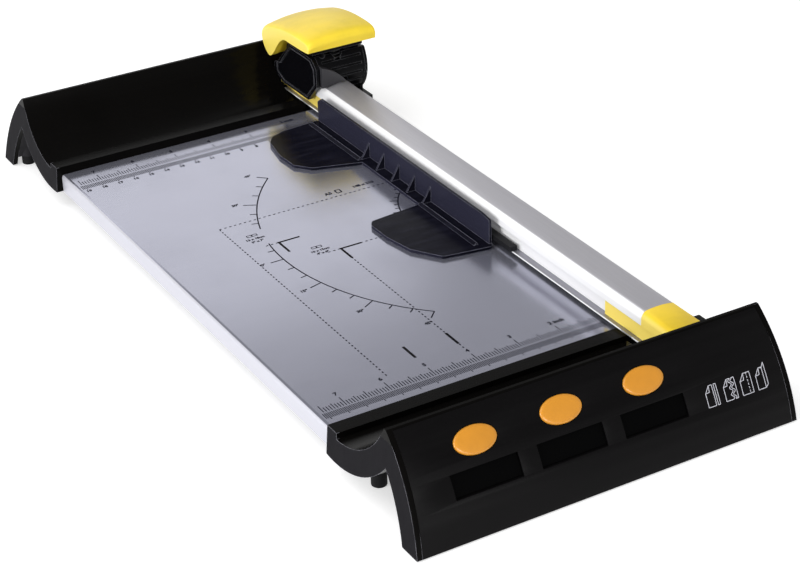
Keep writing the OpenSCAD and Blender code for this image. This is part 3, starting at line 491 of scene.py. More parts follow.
@dataclass(frozen=True)
class BrushedMetal:
    """A metal with fine parallel scratches and slow changes of tone, whose side faces can be
    painted paler as if lit from the side.
    """

    name: str
    colour: Colour
    roughness: float
    along: Axis = Axis.Y
    streak: float = 0.12
    scratch_mm: float = 0.35
    depth: float = 0.006
    metallic: float = 1.0
    specular: float = 0.5
    # Side faces: a paler colour that is painted light from the side, with their own metallic share
    # and roughness.
    side_colour: Colour | None = None
    side_reach: float = 1.5
    side_metallic: float = 0.35
    side_roughness: float = 0.5

    def make(self) -> bpy.types.Material:
        """Builds the material.

        Returns:
            The finished material.
        """
        material, wires, shader = start_material(self.name)
        stretch = tuple(0.012 if axis is self.along else 1.0 for axis in Axis)
        brush = EFFECTS.place(wires, Effect.BRUSH, Stretch=stretch, Size=self.scratch_mm)
        smudge = EFFECTS.place(wires, Effect.SMUDGE, Size=60.0)
        wear = EFFECTS.place(wires, Effect.WEAR, Radius=0.3, Amount=0.6)
        light = toned(self.colour, 1 + self.streak)
        tone = wires.remap(brush.outputs["Streak"], 0.25, 0.75)
        colour = wires.blend(tone, toned(self.colour, 1 - 2.2 * self.streak), light)
        colour = wires.blend(wires.remap(brush.outputs["Band"], 0.3, 0.7, 0.0, 0.5), colour,
                             rgba(self.colour))
        rough = wires.maths("MULTIPLY_ADD", brush.outputs["Streak"], self.streak, self.roughness)
        metallic: object = self.metallic
        # Painted highlight: faces that look left or right get a paler, less metallic finish, as if
        # lit from the side.
        if self.side_colour:
            mask = EFFECTS.place(wires, Effect.SIDES, Sharpness=self.side_reach).outputs["Mask"]
            colour = wires.blend(mask, colour, rgba(self.side_colour))
            metallic = wires.maths("MULTIPLY_ADD", mask, self.side_metallic - self.metallic,
                                   self.metallic)
            rough = wires.maths("MULTIPLY_ADD", mask, self.side_roughness - self.roughness, rough)
        # Lighter edges: wear together with a painted highlight.
        colour = wires.blend(wear.outputs["Mask"], colour, light)
        rough = wires.maths("ADD", rough,
                            wires.maths("MULTIPLY", smudge.outputs["Mask"], 0.06), clamp=True)
        wires.feed_all(shader, {
            "Base Color": colour, "Roughness": rough, "Metallic": metallic,
            "Specular IOR Level": self.specular,
            "Normal": wires.bump(brush.outputs["Streak"], 0.5, self.depth)})
        return material


@dataclass(frozen=True)
class SmokedPlastic:
    """A tinted clear plastic with light scuffs, painted highlights on its edges and a painted
    reflection on its side faces.
    """

    name: str
    colour: Colour
    roughness: float = 0.12
    clearness: float = 0.7
    specular: float = 0.2
    # Painted highlight along the edges.
    edge_colour: Colour = (0.34, 0.34, 0.42)
    edge_mm: float = 0.4
    # Painted reflection: faces that look left or right are lighter.
    side_colour: Colour = (0.040, 0.040, 0.068)
    ior: float = 1.12

    def make(self) -> bpy.types.Material:
        """Builds the material.

        Returns:
            The finished material.
        """
        material, wires, shader = start_material(self.name)
        smudge = EFFECTS.place(wires, Effect.SMUDGE, Size=25.0)
        grain = EFFECTS.place(wires, Effect.GRAIN, Size=2.5)
        share = wires.maths("MULTIPLY", smudge.outputs["Streak"], 0.8)
        colour = wires.blend(share, rgba(self.colour), toned(self.colour, 2.4, 0.008))
        # Painted reflection: side faces lighter.
        sides = EFFECTS.place(wires, Effect.SIDES)
        colour = wires.blend(sides.outputs["Mask"], colour, rgba(self.side_colour))
        # Painted highlight along every edge.
        edge = EFFECTS.place(wires, Effect.WEAR, Radius=self.edge_mm, Amount=1.6)
        colour = wires.blend(edge.outputs["Mask"], colour, rgba(self.edge_colour))
        rough = wires.maths("MULTIPLY_ADD", smudge.outputs["Mask"], 0.12, self.roughness)
        wires.feed_all(shader, {
            "Base Color": colour, "Roughness": rough, "Transmission Weight": self.clearness,
            "Specular IOR Level": self.specular, "IOR": self.ior,
            "Normal": wires.bump(grain.outputs["Height"], 0.25, 0.02)})
        return material


@dataclass(frozen=True)
class PrintedInk:
    """Screen-printed ink with slightly uneven cover."""

    name: str
    colour: Colour
    cover: float = 0.15

    def make(self) -> bpy.types.Material:
        """Builds the material.

        Returns:
            The finished material.
        """
        material, wires, shader = start_material(self.name)
        grain = EFFECTS.place(wires, Effect.GRAIN, Size=0.5)
        thin = tuple(channel + (0.5 - channel) * self.cover for channel in self.colour)
        colour = wires.blend(grain.outputs["Fleck"], rgba(self.colour), rgba(thin))
        rough = wires.maths("MULTIPLY_ADD", grain.outputs["Height"], 0.15, 0.45)
        wires.feed_all(shader, {"Base Color": colour, "Roughness": rough,
                                "Specular IOR Level": 0.08})
        return material


Finish = MouldedPlastic | BrushedMetal | SmokedPlastic | PrintedInk


@dataclass
class Palette:
    """Every finish of the trimmer, made on first use."""

    finishes: dict[str, Finish]
    made: dict[str, bpy.types.Material] = field(default_factory=dict)

    def __getitem__(self, name: str) -> bpy.types.Material:
        """Gives a material, which is built on its first use.

        Args:
            name: The finish's name.

        Returns:
            The material.
        """
        if name not in self.made:
            self.made[name] = self.finishes[name].make()
        return self.made[name]


# A metal gives its colour, roughness, brushing, streak, scratch size and depth, and metallic
# share. A moulded plastic gives its colour, roughness, specular level, grain size and depth,
# smudge, edge wear with a painted edge highlight, colour of those lighter edges and dust. A smoked
# plastic gives its colour, roughness and clearness, an ink its colour and how far it thins. Sizes
# are in millimetres. Paler side and end colours, set by name, are painted light.
PALETTE = Palette({finish.name: finish for finish in (
    # Bed: its paler sides are a painted highlight.
    BrushedMetal("bed_sheet", (0.36, 0.365, 0.44), 0.14, Axis.X, 0.03, 0.5, 0.002, 0.72,
                 side_colour=(0.60, 0.60, 0.66), side_metallic=0.4, side_roughness=0.45),
    # Rail: its near-white sides are a painted highlight from the side lamp.
    BrushedMetal("rail_aluminium", (0.60, 0.59, 0.63), 0.42, Axis.Y, 0.07, 0.3, 0.01, 0.65,
                 side_colour=(0.97, 0.97, 0.98), side_metallic=0.12),
    # Clamp: its dark top is painted shade of the groove, its near-white sides a painted highlight.
    BrushedMetal("clamp_aluminium", (0.30, 0.295, 0.33), 0.35, Axis.Y, 0.04, 0.4, metallic=0.7,
                 side_colour=(0.98, 0.98, 0.99), side_metallic=0.05),
    BrushedMetal("plated_steel", (0.50, 0.51, 0.53), 0.28, Axis.X, 0.1, 0.5),
    BrushedMetal("spring_steel", (0.42, 0.42, 0.44), 0.25, Axis.Z, 0.1, 0.3),
    BrushedMetal("spring_black", (0.02, 0.02, 0.022), 0.4, Axis.Z, 0.1, 0.3, metallic=0.5),
    BrushedMetal("ground_steel", (0.72, 0.73, 0.75), 0.16, Axis.Z, 0.08, 0.2),
    # Housing and fascia: paler end faces are painted light; the light edges at the ends are a
    # painted highlight besides wear.
    MouldedPlastic("housing_black", (0.0026, 0.0023, 0.0021), 0.2, 0.045, 1.2, 0.004, 0.06,
                   1.2, (0.24, 0.24, 0.27), 0.004, end_colour=(0.0075, 0.007, 0.009),
                   end_beyond=105.0),
    MouldedPlastic("fascia_black", (0.0022, 0.0019, 0.0022), 0.38, 0.09, 0.8, 0.012, 0.08, 1.5,
                   (0.20, 0.20, 0.23), 0.006, end_colour=(0.009, 0.0085, 0.0105),
                   end_beyond=108.4),
    # Lower cover: paler end faces are painted light.
    MouldedPlastic("cover_black", (0.018, 0.017, 0.02), 0.55, 0.15, 0.6, 0.03, 0.08, 0.35,
                   (0.10, 0.10, 0.11), 0.03, end_colour=(0.026, 0.025, 0.030)),
    MouldedPlastic("frame_black", (0.012, 0.012, 0.014), 0.5, 0.15, 0.6, 0.03, 0.08, 0.3,
                   (0.08, 0.08, 0.08), 0.03),
    MouldedPlastic("tray_black", (0.0008, 0.0008, 0.0009), 0.8, 0.03, 0.5, 0.02, 0.02, 0.05,
                   (0.02, 0.02, 0.02), 0.0),
    # Head and plate: their light edge lines are wear together with a painted highlight.
    MouldedPlastic("head_black", (0.0014, 0.0014, 0.0020), 0.26, 0.065, 0.8, 0.006, 0.1, 0.8,
                   (0.16, 0.16, 0.17), 0.008),
    MouldedPlastic("plate_black", (0.003, 0.003, 0.004), 0.2, 0.12, 1.0, 0.004, 0.08, 1.4,
                   (0.16, 0.16, 0.18), 0.004),
    MouldedPlastic("saddle_grey", (0.036, 0.035, 0.040), 0.46, 0.35, 0.7, 0.02, 0.08, 0.3,
                   (0.2, 0.2, 0.21), 0.02),
    MouldedPlastic("mat_grey", (0.05, 0.055, 0.065), 0.6, 0.3, 0.5, 0.04, 0.1, 0.2,
                   (0.2, 0.2, 0.2), 0.1),
    MouldedPlastic("rubber_black", (0.008, 0.008, 0.009), 0.7, 0.15, 0.4, 0.05, 0.1, 0.5,
                   (0.08, 0.08, 0.08), 0.08),
    MouldedPlastic("pad_white", (0.72, 0.72, 0.68), 0.4, 0.4, 0.6, 0.01, 0.1, 0.2,
                   (0.8, 0.8, 0.78), 0.0),
    # Handle and caps: paler lemon end faces are a painted highlight from the side.
    MouldedPlastic("handle_yellow", (1.0, 0.74, 0.045), 0.34, 0.34, 0.9, 0.006, 0.08, 0.25,
                   (1.0, 0.84, 0.3), 0.004, end_colour=(1.0, 0.80, 0.15), end_roughness=0.4),
    MouldedPlastic("cap_yellow", (1.0, 0.70, 0.028), 0.34, 0.34, 0.8, 0.008, 0.08, 0.25,
                   (1.0, 0.84, 0.3), 0.004, end_colour=(1.0, 0.78, 0.16), end_roughness=0.4),
    # Buttons: the strong light rim is a painted highlight besides wear.
    MouldedPlastic("button_yellow", (0.66, 0.27, 0.018), 0.36, 0.3, 0.6, 0.01, 0.06, 2.0,
                   (1.0, 0.70, 0.26), 0.006, coat=0.5),
    # Guide: light edges and lighter sides are painted highlight and painted reflection.
    SmokedPlastic("guide_smoke", (0.009, 0.009, 0.017), 0.14, 0.4),
    PrintedInk("ink_dark", (0.006, 0.0065, 0.016), 0.02),
    PrintedInk("ink_black", (0.003, 0.003, 0.005), 0.02),
    PrintedInk("ink_white", (0.55, 0.55, 0.60), 0.05),
)})


# Mesh making


def circle(count: int) -> list[Point2]:
    """Evenly spaced points of a circle of radius 1."""
    turns = [math.tau * k / count for k in range(count)]
    return [(math.cos(turn), math.sin(turn)) for turn in turns]


def bands(rows: int, count: int, start: int = 0) -> list[tuple[int, ...]]:
    """Faces that join rings of points, each ring to the next.

    Args:
        rows: Number of rings.
        count: Points in each ring.
        start: Number of the first point of the first ring.

    Returns:
        The faces.
    """
    faces = []
    for low in range(start, start + (rows - 1) * count, count):
        for k in range(count):
            a, b = low + k, low + (k + 1) % count
            faces.append((a, b, b + count, a + count))
    return faces


def closed_stack(rows: int, count: int) -> list[tuple[int, ...]]:
    """Faces of a solid made of rings of points, closed at its foot and its top."""
    last = (rows - 1) * count
    return [tuple(reversed(range(count))), *bands(rows, count), tuple(range(last, last + count))]


@dataclass
class MeshDraft:
    """Collects vertices in millimetres and faces, and becomes one object."""

    points: list[Point3] = field(default_factory=list)
    faces: list[tuple[int, ...]] = field(default_factory=list)

    def add(self, points: Iterable[Point3], faces: Iterable[Sequence[int]]) -> None:
        """Appends a shape.

        Args:
            points: Its vertices.
            faces: Its faces, numbered within the shape.
        """
        base = len(self.points)
        self.points.extend(tuple(point) for point in points)
        self.faces.extend(tuple(base + index for index in face) for face in faces)

    def prism(self, outline: Sequence[Point2], low: float, high: float,
              lay: Callable[[float, float, float], Point3]) -> None:
        """Appends an outline with a thickness.

        Args:
            outline: Its corners, anticlockwise seen from above.
            low: Lower height.
            high: Upper height.
            lay: Turns outline coordinates and a height into a point.
        """
        points = [lay(u, v, height) for height in (low, high) for u, v in outline]
        self.add(points, closed_stack(2, len(outline)))

    def stroke(self, path: Sequence[Point2], width: float, low: float, high: float,
               lay: Callable[[float, float, float], Point3], step: float = math.inf) -> None:
        """Appends a drawn line of a given width.

        Args:
            path: Points along the line.
            width: Its width.
            low: Lower height.
            high: Upper height.
            lay: Turns path coordinates and a height into a point.
            step: Longest piece, for lines on curved faces.
        """
        for (u0, v0), (u1, v1) in zip(path, path[1:]):
            length = math.hypot(u1 - u0, v1 - v0)
            if length < 1e-6:
                continue
            side_u, side_v = -(v1 - v0) / length * width / 2, (u1 - u0) / length * width / 2
            parts = max(1, math.ceil(length / step))
            for part in range(parts):
                a, b = part / parts, (part + 1) / parts
                au, av = u0 + (u1 - u0) * a, v0 + (v1 - v0) * a
                bu, bv = u0 + (u1 - u0) * b, v0 + (v1 - v0) * b
                self.prism([(au - side_u, av - side_v), (bu - side_u, bv - side_v),
                            (bu + side_u, bv + side_v), (au + side_u, av + side_v)],
                           low, high, lay)

    def tube(self, path: Sequence[Vector], radius: float, sides: int) -> None:
        """Appends a round tube along a path, closed at both ends.

        Args:
            path: Points along its middle.
            radius: Its radius.
            sides: Number of faces round it.
        """
        rings: list[Point3] = []
        side = Vector((0, 0, 1))
        for index, point in enumerate(path):
            ahead = (path[min(index + 1, len(path) - 1)] - path[max(index - 1, 0)]).normalized()
            side = (side - ahead * side.dot(ahead)).normalized()
            other = ahead.cross(side)
            rings += [tuple(point + (side * c + other * s) * radius) for c, s in circle(sides)]
        self.add(rings, closed_stack(len(path), sides))

    def make(self, name: str, material: bpy.types.Material, smooth_deg: float = 30.0
             ) -> bpy.types.Object:
        """Turns the draft into an object.

        Args:
            name: The piece's name.
            material: Its finish.
            smooth_deg: Edges flatter than this are shaded smooth.

        Returns:
            The new object, at the origin.
        """
        mesh = bpy.data.meshes.new(name)
        mesh.from_pydata([tuple(c * MM for c in p) for p in self.points], [], self.faces)
        mesh.materials.append(material)
        mesh.shade_smooth()
        mesh.set_sharp_from_angle(angle=math.radians(smooth_deg))
        mesh.update()
        piece = bpy.data.objects.new(name, mesh)
        bpy.context.scene.collection.objects.link(piece)
        return piece


def flat_lay(x: float, y: float, z: float) -> Point3:
    """Lays outline coordinates straight onto X and Y."""
    return (x, y, z)


def letter_shapes(text: str, size: float, bold: float
                  ) -> tuple[list[Point3], list[tuple[int, ...]]]:
    """The mesh of a line of characters, centred on the origin, in millimetres.

    Args:
        text: The characters.
        size: Height of the type.
        bold: How far the strokes are thickened.

    Returns:
        Its vertices and faces, with a thickness of 1 in Z.
    """
    curve = bpy.data.curves.new("type", "FONT")
    curve.body, curve.size, curve.extrude, curve.offset = text, size, 0.5, bold
    curve.align_x, curve.align_y, curve.resolution_u = "CENTER", "CENTER", 3
    holder = bpy.data.objects.new("type", curve)
    bpy.context.scene.collection.objects.link(holder)
    bpy.context.view_layer.update()
    mesh = bpy.data.meshes.new_from_object(holder.evaluated_get(
        bpy.context.evaluated_depsgraph_get()))
    points = [tuple(vertex.co) for vertex in mesh.vertices]
    faces = [tuple(polygon.vertices) for polygon in mesh.polygons]
    bpy.data.objects.remove(holder)
    bpy.data.curves.remove(curve)
    bpy.data.meshes.remove(mesh)
    return points, faces


def mount(piece: bpy.types.Object, body: str, slot: str, *nodes: str) -> bpy.types.Object:
    """Rides a piece on a body and hides the nodes that it stands for.

    Args:
        piece: The new piece.
        body: The body that it moves with.
        slot: Not used.
        *nodes: CAD nodes that it replaces.

    Returns:
        The piece.
    """
    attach(piece, body)
    if nodes:
        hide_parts(*nodes)
    LOG.info("%s on %s", piece.name, body)
    return piece


def round_edges(piece: bpy.types.Object, width_mm: float, segments: int, angle: float
                ) -> bpy.types.Modifier:
    """Rounds the sharp edges of a piece.

    Args:
        piece: The piece.
        width_mm: Width of the rounding.
        segments: Steps across it.
        angle: Edges sharper than this are rounded.

    Returns:
        The bevel.
    """
    bevel = piece.modifiers.new("edges", "BEVEL")
    bevel.width, bevel.segments = width_mm * MM, segments
    bevel.limit_method, bevel.angle_limit = "ANGLE", math.radians(angle)
    bevel.harden_normals = True
    return bevel


@dataclass
class Frame:
    """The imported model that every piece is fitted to."""

    nodes: dict[str, bpy.types.Object]
    weld_mm: float = 0.002
    flat_angle: float = 1.2
    edge_angle: float = 32.0
    edge_segments: int = 3

    def dress(self, names: str | Sequence[str], finish: str, edge_mm: float = 0.0) -> None:
        """Gives nodes a finish and, if asked, rounded edges.

        Args:
            names: One node or several.
            finish: The finish's name.
            edge_mm: Width of the rounding on sharp edges, or 0 for none.
        """
        for name in ([names] if isinstance(names, str) else names):
            node = self.nodes[name]
            for holder in node.material_slots:
                holder.material = PALETTE[finish]
            if edge_mm:
                merge = node.modifiers.new("weld", "WELD")
                merge.merge_threshold = self.weld_mm * MM
                flat = node.modifiers.new("flats", "DECIMATE")
                flat.decimate_type = "DISSOLVE"
                flat.angle_limit = math.radians(self.flat_angle)
                bevel = round_edges(node, edge_mm, self.edge_segments, self.edge_angle)
                bevel.use_clamp_overlap = True
                bevel.miter_outer = "MITER_ARC"
            LOG.info("%s dressed in %s", name, finish)


@dataclass
class ScrewSet:
    """Screws with a cross recess that stand for one node of plain screws.

    heads holds the seat of each head, and out is the way that the heads look.
    """

    node: str
    body: str
    heads: Sequence[Point3]
    shank: float
    out: Point3 = (0.0, 0.0, -1.0)
    radius: float = 3.0
    height: float = 2.0
    shank_radius: float = 1.5
    sides: int = 32

    def build(self) -> None:
        """Makes every screw of the set as one piece."""
        draft = MeshDraft()
        way = Vector(self.out)
        side = way.orthogonal().normalized()
        other = way.cross(side)

        def lay(u: float, v: float, h: float, foot: Vector) -> Point3:
            """Lays a point of the head at a height along the screw's axis."""
            return tuple(foot + side * u + other * v + way * h)

        count = self.sides
        slot, reach, depth = 0.17 * self.radius, 0.62 * self.radius, 0.55 * self.height
        cross = [(reach, slot), (slot, slot), (slot, reach), (-slot, reach), (-slot, slot),
                 (-reach, slot), (-reach, -slot), (-slot, -slot), (-slot, -reach),
                 (slot, -reach), (slot, -slot), (reach, -slot)]
        for head in self.heads:
            foot = Vector(head)
            rings = [(self.shank_radius, -self.shank), (self.shank_radius, 0.0),
                     (self.radius, 0.0), (self.radius, self.height * 0.7),
                     (self.radius * 0.9, self.height * 0.93), (self.radius * 0.8, self.height)]
            points = [lay(r * c, r * s, h, foot) for r, h in rings for c, s in circle(count)]
            faces = [tuple(reversed(range(count))), *bands(len(rings), count)]
            rim, start, corners = len(points) - count, len(points), len(cross)
            points += [lay(u, v, self.height, foot) for u, v in cross]
            points += [lay(u, v, self.height - depth, foot) for u, v in cross]
            # The flat ring between the head's rim and the recess.
            loops = [range(rim, start), range(start, start + corners)]
            names = [index for loop in loops for index in loop]
            flat = [[Vector(((Vector(points[i]) - foot).dot(side),
                             (Vector(points[i]) - foot).dot(other), 0)) for i in loop]
                    for loop in loops]
            spots = flat[0] + flat[1]
            for triangle in tessellate_polygon(flat):
                a, b, c = (spots[index] for index in triangle)
                face = [names[index] for index in triangle]
                faces.append(tuple(face if (b - a).cross(c - a).z >= 0 else reversed(face)))
            faces += bands(2, corners, start)
            faces.append(tuple(range(start + corners, start + 2 * corners)))
            draft.add(points, faces)
        piece = draft.make(f"cross_{self.node}", PALETTE["plated_steel"])
        mount(piece, self.body, "screw_steel", self.node)


# Studio


@dataclass(frozen=True)
class Lamp:
    """A soft rectangular lamp: its place and aim, its width and height, and its watts."""

    name: str
    at: Point3
    aim: Point3
    width: float
    height: float
    power: float

    def build(self) -> None:
        """Adds the lamp to the scene."""
        light = bpy.data.lights.new(self.name, "AREA")
        light.shape, light.energy = "RECTANGLE", self.power
        light.size, light.size_y = self.width * MM, self.height * MM
        lamp = bpy.data.objects.new(self.name, light)
        bpy.context.scene.collection.objects.link(lamp)
        place = Vector(self.at) * MM
        toward = (Vector(self.aim) * MM - place).normalized()
        turn = toward.to_track_quat("-Z", "Y").to_matrix().to_4x4()
        lamp.matrix_world = Matrix.Translation(place) @ turn


LAMPS = (Lamp("key_light", (-900, 0, 1500), (0, 0, 0), 1100, 1100, 9.0),
         Lamp("side_light", (-1700, -350, 520), (0, 0, 30), 900, 600, 17.0),
         Lamp("back_light", (100, 1600, 650), (0, 0, 0), 1600, 700, 3.0),
         Lamp("front_light", (-350, -1500, 420), (0, 0, 20), 900, 500, 8.5))


@dataclass
class Studio:
    """The pale floor, the soft lights and the camera of the photograph."""

    camera_at: Point3 = (-496.3, -931.5, 574.3)
    azimuth: float = -29.47
    elevation: float = 28.91
    roll: float = -1.88
    lens: float = 96.33
    sensor: float = 36.0
    clip: Pair = (0.05, 30.0)
    floor_radius: float = 5200.0
    floor_sides: int = 96
    floor_grey: float = 0.8
    floor_glow: float = 0.5
    world_light: float = 0.6
    # The room gets darker from its first height to its second.
    room_height: Pair = (0.4, 0.75)
    room_light: Pair = (0.8, 0.35)

    def build(self) -> None:
        """Makes the camera, lamps, world and floor."""
        scene = bpy.context.scene
        scene.view_settings.view_transform = "Standard"
        self._camera(scene)
        self._world(scene)
        self._floor()
        for lamp in LAMPS:
            lamp.build()

    def _camera(self, scene: bpy.types.Scene) -> None:
        """Places the camera where the photograph was taken from.

        Args:
            scene: The scene that it belongs to.
        """
        lens = bpy.data.cameras.new("camera")
        lens.lens, lens.sensor_width, lens.sensor_fit = self.lens, self.sensor, "HORIZONTAL"
        lens.clip_start, lens.clip_end = self.clip
        camera = bpy.data.objects.new("camera", lens)
        scene.collection.objects.link(camera)
        az, el, tilt = (math.radians(a) for a in (self.azimuth, self.elevation, self.roll))
        back = Vector((math.sin(az) * math.cos(el), -math.cos(az) * math.cos(el), math.sin(el)))
        right = Vector((0, 0, 1)).cross(back).normalized()
        up = back.cross(right)
        rolled = right * math.cos(tilt) + up * math.sin(tilt)
        lifted = up * math.cos(tilt) - right * math.sin(tilt)
        turn = Matrix((rolled, lifted, back)).transposed().to_4x4()
        camera.matrix_world = Matrix.Translation(Vector(self.camera_at) * MM) @ turn
        scene.camera = camera

    def _world(self, scene: bpy.types.Scene) -> None:
        """Makes a world that is white to the camera and a soft grey room to the trimmer.

        Args:
            scene: The scene that it belongs to.
        """
        world = bpy.data.worlds.new("studio")
        world.use_nodes = True
        wires = Wires(world.node_tree)
        wires.tree.nodes.clear()
        path = wires.add("ShaderNodeLightPath")
        look = wires.add("ShaderNodeTexCoord").outputs["Generated"]
        room = wires.remap(wires.part(look, "Z"), *self.room_height, *self.room_light)
        mirrored = wires.maths("MAXIMUM", path.outputs["Is Glossy Ray"],
                               path.outputs["Is Transmission Ray"])
        lit = wires.add("ShaderNodeMix", {0: mirrored, 2: self.world_light, 3: room})
        shown = wires.add("ShaderNodeMix", {0: path.outputs["Is Camera Ray"],
                                            2: lit.outputs[0], 3: 1.0})
        back = wires.add("ShaderNodeBackground", {"Strength": shown.outputs[0]})
        out = wires.add("ShaderNodeOutputWorld")
        wires.feed(out.inputs["Surface"], back.outputs[0])
        scene.world = world

    def _floor(self) -> None:
        """A round pale floor that keeps the trimmer's soft shadow."""
        draft = MeshDraft()
        ring = [(self.floor_radius * c, self.floor_radius * s) for c, s in circle(self.floor_sides)]
        draft.add([(x, y, 0.0) for x, y in ring], [tuple(range(self.floor_sides))])
        material, wires, shader = start_material("floor_paper")
        rays = wires.add("ShaderNodeLightPath").outputs
        path = wires.maths("MAXIMUM", rays["Is Camera Ray"],
                           wires.maths("MAXIMUM", rays["Is Glossy Ray"],
                                       rays["Is Transmission Ray"]))
        wires.feed_all(shader, {
            "Base Color": rgba((self.floor_grey,) * 3), "Roughness": 0.9,
            "Specular IOR Level": 0.0, "Emission Color": (1.0, 1.0, 1.0, 1.0),
            "Emission Strength": wires.maths("MULTIPLY", path, self.floor_glow)})
        draft.make("floor", material)


# Bed


@dataclass(frozen=True)
class PrintFormat:
    """A print format on the bed: its size, its labels and their place from its corner."""

    size: Pair
    metric: str
    inches: str
    label: Pair


PRINT_FORMATS = (PrintFormat((127.0, 177.8), "13 x 18cm", '5" x 7"', (-9.0, 9.5)),
                 PrintFormat((101.6, 152.4), "10 x 15cm", '4" x 6"', (-10.5, 3.0)))


@dataclass
class Bed:
    """The printed sheet-metal bed with its frame and cutting mat."""

    frame: Frame
    top: float = 22.0
    ink: float = 0.02
    lift: float = 0.01
    line: float = 0.78
    fine: float = 0.5
    dash: float = 1.4
    gap: float = 1.7
    # Where the inch ticks and the millimetre ticks start, at each end of the bed.
    scale_rows: Sequence[Pair] = ((-149.9, -150.9), (147.8, 146.4))
    # Which ticks there are, counted from the cut line.
    sixteenths: range = range(19, 121)
    millimetres: range = range(28, 193)
    # How far every n-th tick reaches, the rarest first, and below zero forwards.
    inch_reach: Sequence[tuple[int, float]] = ((16, 8.0), (8, 6.4), (4, 5.2), (1, 4.2))
    mm_reach: Sequence[tuple[int, float]] = ((10, -6.2), (1, -4.8))
    inch_rows: Pair = (-138.2, 160.6)
    centimetre_row: float = 138.2
    # Type, each as its height and how far its strokes are thickened.
    inch_type: Pair = (3.8, 0.18)
    small_type: Pair = (3.4, 0.18)
    angle_type: Pair = (3.2, 0.17)
    title_type: Pair = (3.8, 0.2)
    label_type: Pair = (2.7, 0.15)
    outer_arc: float = 134.0
    inner_arc: float = 53.0
    arc_reach: float = 45.0
    arc_steps: int = 90
    # Steps of the outer arc, and angles on it, that the size labels take the place of.
    arc_gap: range = range(54, 62)
    bare_angles: Sequence[int] = (10, 15)
    # Ticks of the arcs: long, long at 45 degrees, short, and the inner arc's share of them.
    arc_ticks: tuple[float, float, float] = (8.0, 7.0, 4.0)
    inner_share: float = 0.6
    angle_label: float = 12.5
    # Front edge of a sheet that is measured on the bed.
    paper_foot: float = -158.86
    a5: Pair = (148.0, 210.0)
    # Title, size and sign of that sheet, by their distances from the cut line and the foot.
    a5_title: Point2 = (75.0, 215.5)
    a5_size: Point2 = (52.0, 215.5)
    a5_sign: Point2 = (68.5, 215.5)
    a5_sign_half: Pair = (1.5, 1.9)
    # Where the outlines begin above the foot, for that sheet and for the smaller print.
    outline_foot: Pair = (22.0, 24.0)
    outline_stop: float = 30.0
    # Rows of a print format's labels and of its two signs, and the signs' place and size.
    label_rows: Pair = (1.8, -1.7)
    sign_row: float = 6.0
    sign_shift: float = 1.6
    sign_half: Pair = (1.4, 1.0)
    corner_lead: float = 8.0
    corner_arm: float = 13.0
    corner_line: float = 1.4
    foot_mark: Pair = (29.0, 41.7)
    foot_line: float = 1.5

    def build(self) -> None:
        """Dresses the solids and prints the scales."""
        self.frame.dress("board", "bed_sheet", edge_mm=0.4)
        self.frame.dress("base_frame", "frame_black")
        self.frame.dress("cutting_mat", "mat_grey")
        self._scales()
        self._protractor()
        self._paper_marks()
        self._corner_marks()

    def _z(self) -> tuple[float, float]:
        """Lower and upper height of printed ink."""
        return self.top + self.lift, self.top + self.lift + self.ink

    def _line(self, draft: MeshDraft, path: Sequence[Point2], width: float) -> None:
        """Prints a line on the bed."""
        draft.stroke(path, width, *self._z(), flat_lay)

    def _box(self, draft: MeshDraft, centre: Point2, half: Pair, width: float) -> None:
        """Prints the outline of a small rectangle.

        Args:
            draft: The draft to print into.
            centre: Its middle.
            half: Half of its width and height.
            width: Width of the line.
        """
        (x, y), (dx, dy) = centre, half
        self._line(draft, [(x - dx, y - dy), (x + dx, y - dy), (x + dx, y + dy),
                           (x - dx, y + dy), (x - dx, y - dy)], width)

    def _dashes(self, draft: MeshDraft, start: Point2, stop: Point2) -> None:
        """Prints a dashed line.

        Args:
            draft: The draft to print into.
            start: First end.
            stop: Other end.
        """
        first, span = Vector(start), Vector(stop) - Vector(start)
        length, way, pitch = span.length, span.normalized(), self.dash + self.gap
        for index in range(int(length // pitch) + 1):
            a = index * pitch
            b = min(a + self.dash, length)
            self._line(draft, [tuple(first + way * a), tuple(first + way * b)], self.line)

    def _type(self, draft: MeshDraft, text: str, kind: Pair, at: Point2) -> None:
        """Prints a line of characters.

        Args:
            draft: The draft to print into.
            text: The characters.
            kind: Height of the type and how far its strokes are thickened.
            at: Middle of the line.
        """
        points, faces = letter_shapes(text, *kind)
        low, high = self._z()
        draft.add([(x + at[0], y + at[1], (low + high) / 2 + z * (high - low))
                   for x, y, z in points], faces)

    def _ticks(self, draft: MeshDraft, y: float, pitch: float, counts: range,
               reaches: Sequence[tuple[int, float]]) -> None:
        """Prints one row of ticks.

        Args:
            draft: The draft to print into.
            y: Where the row starts.
            pitch: Distance from tick to tick.
            counts: Which ticks, counted from the cut line.
            reaches: How far every n-th tick reaches, the rarest first.
        """
        for count in counts:
            x = CUT_X - count * pitch
            reach = next(length for every, length in reaches if count % every == 0)
            self._line(draft, [(x, y), (x, y + reach)], self.fine)

    def _scales(self) -> None:
        """Prints the inch and millimetre scales along both ends of the bed."""
        draft = MeshDraft()
        for inch_y, mm_y in self.scale_rows:
            self._ticks(draft, inch_y, INCH / 16, self.sixteenths, self.inch_reach)
            self._ticks(draft, mm_y, 1.0, self.millimetres, self.mm_reach)
        mount(draft.make("bed_scale_ticks", PALETTE["ink_dark"]), "base", "bed_metal")
        draft = MeshDraft()
        for inch in range(2, 8):
            # Only the first number names its unit, and stands a little to the right.
            text, shift = ("2 inch", 3.0) if inch == 2 else (str(inch), 0.0)
            for y in self.inch_rows:
                self._type(draft, text, self.inch_type, (CUT_X - INCH * inch + shift, y))
        for centimetre in range(4, 20):
            self._type(draft, str(centimetre), self.small_type,
                       (CUT_X - 10 * centimetre, self.centimetre_row))
        mount(draft.make("bed_scale_numbers", PALETTE["ink_dark"]), "base", "bed_metal")

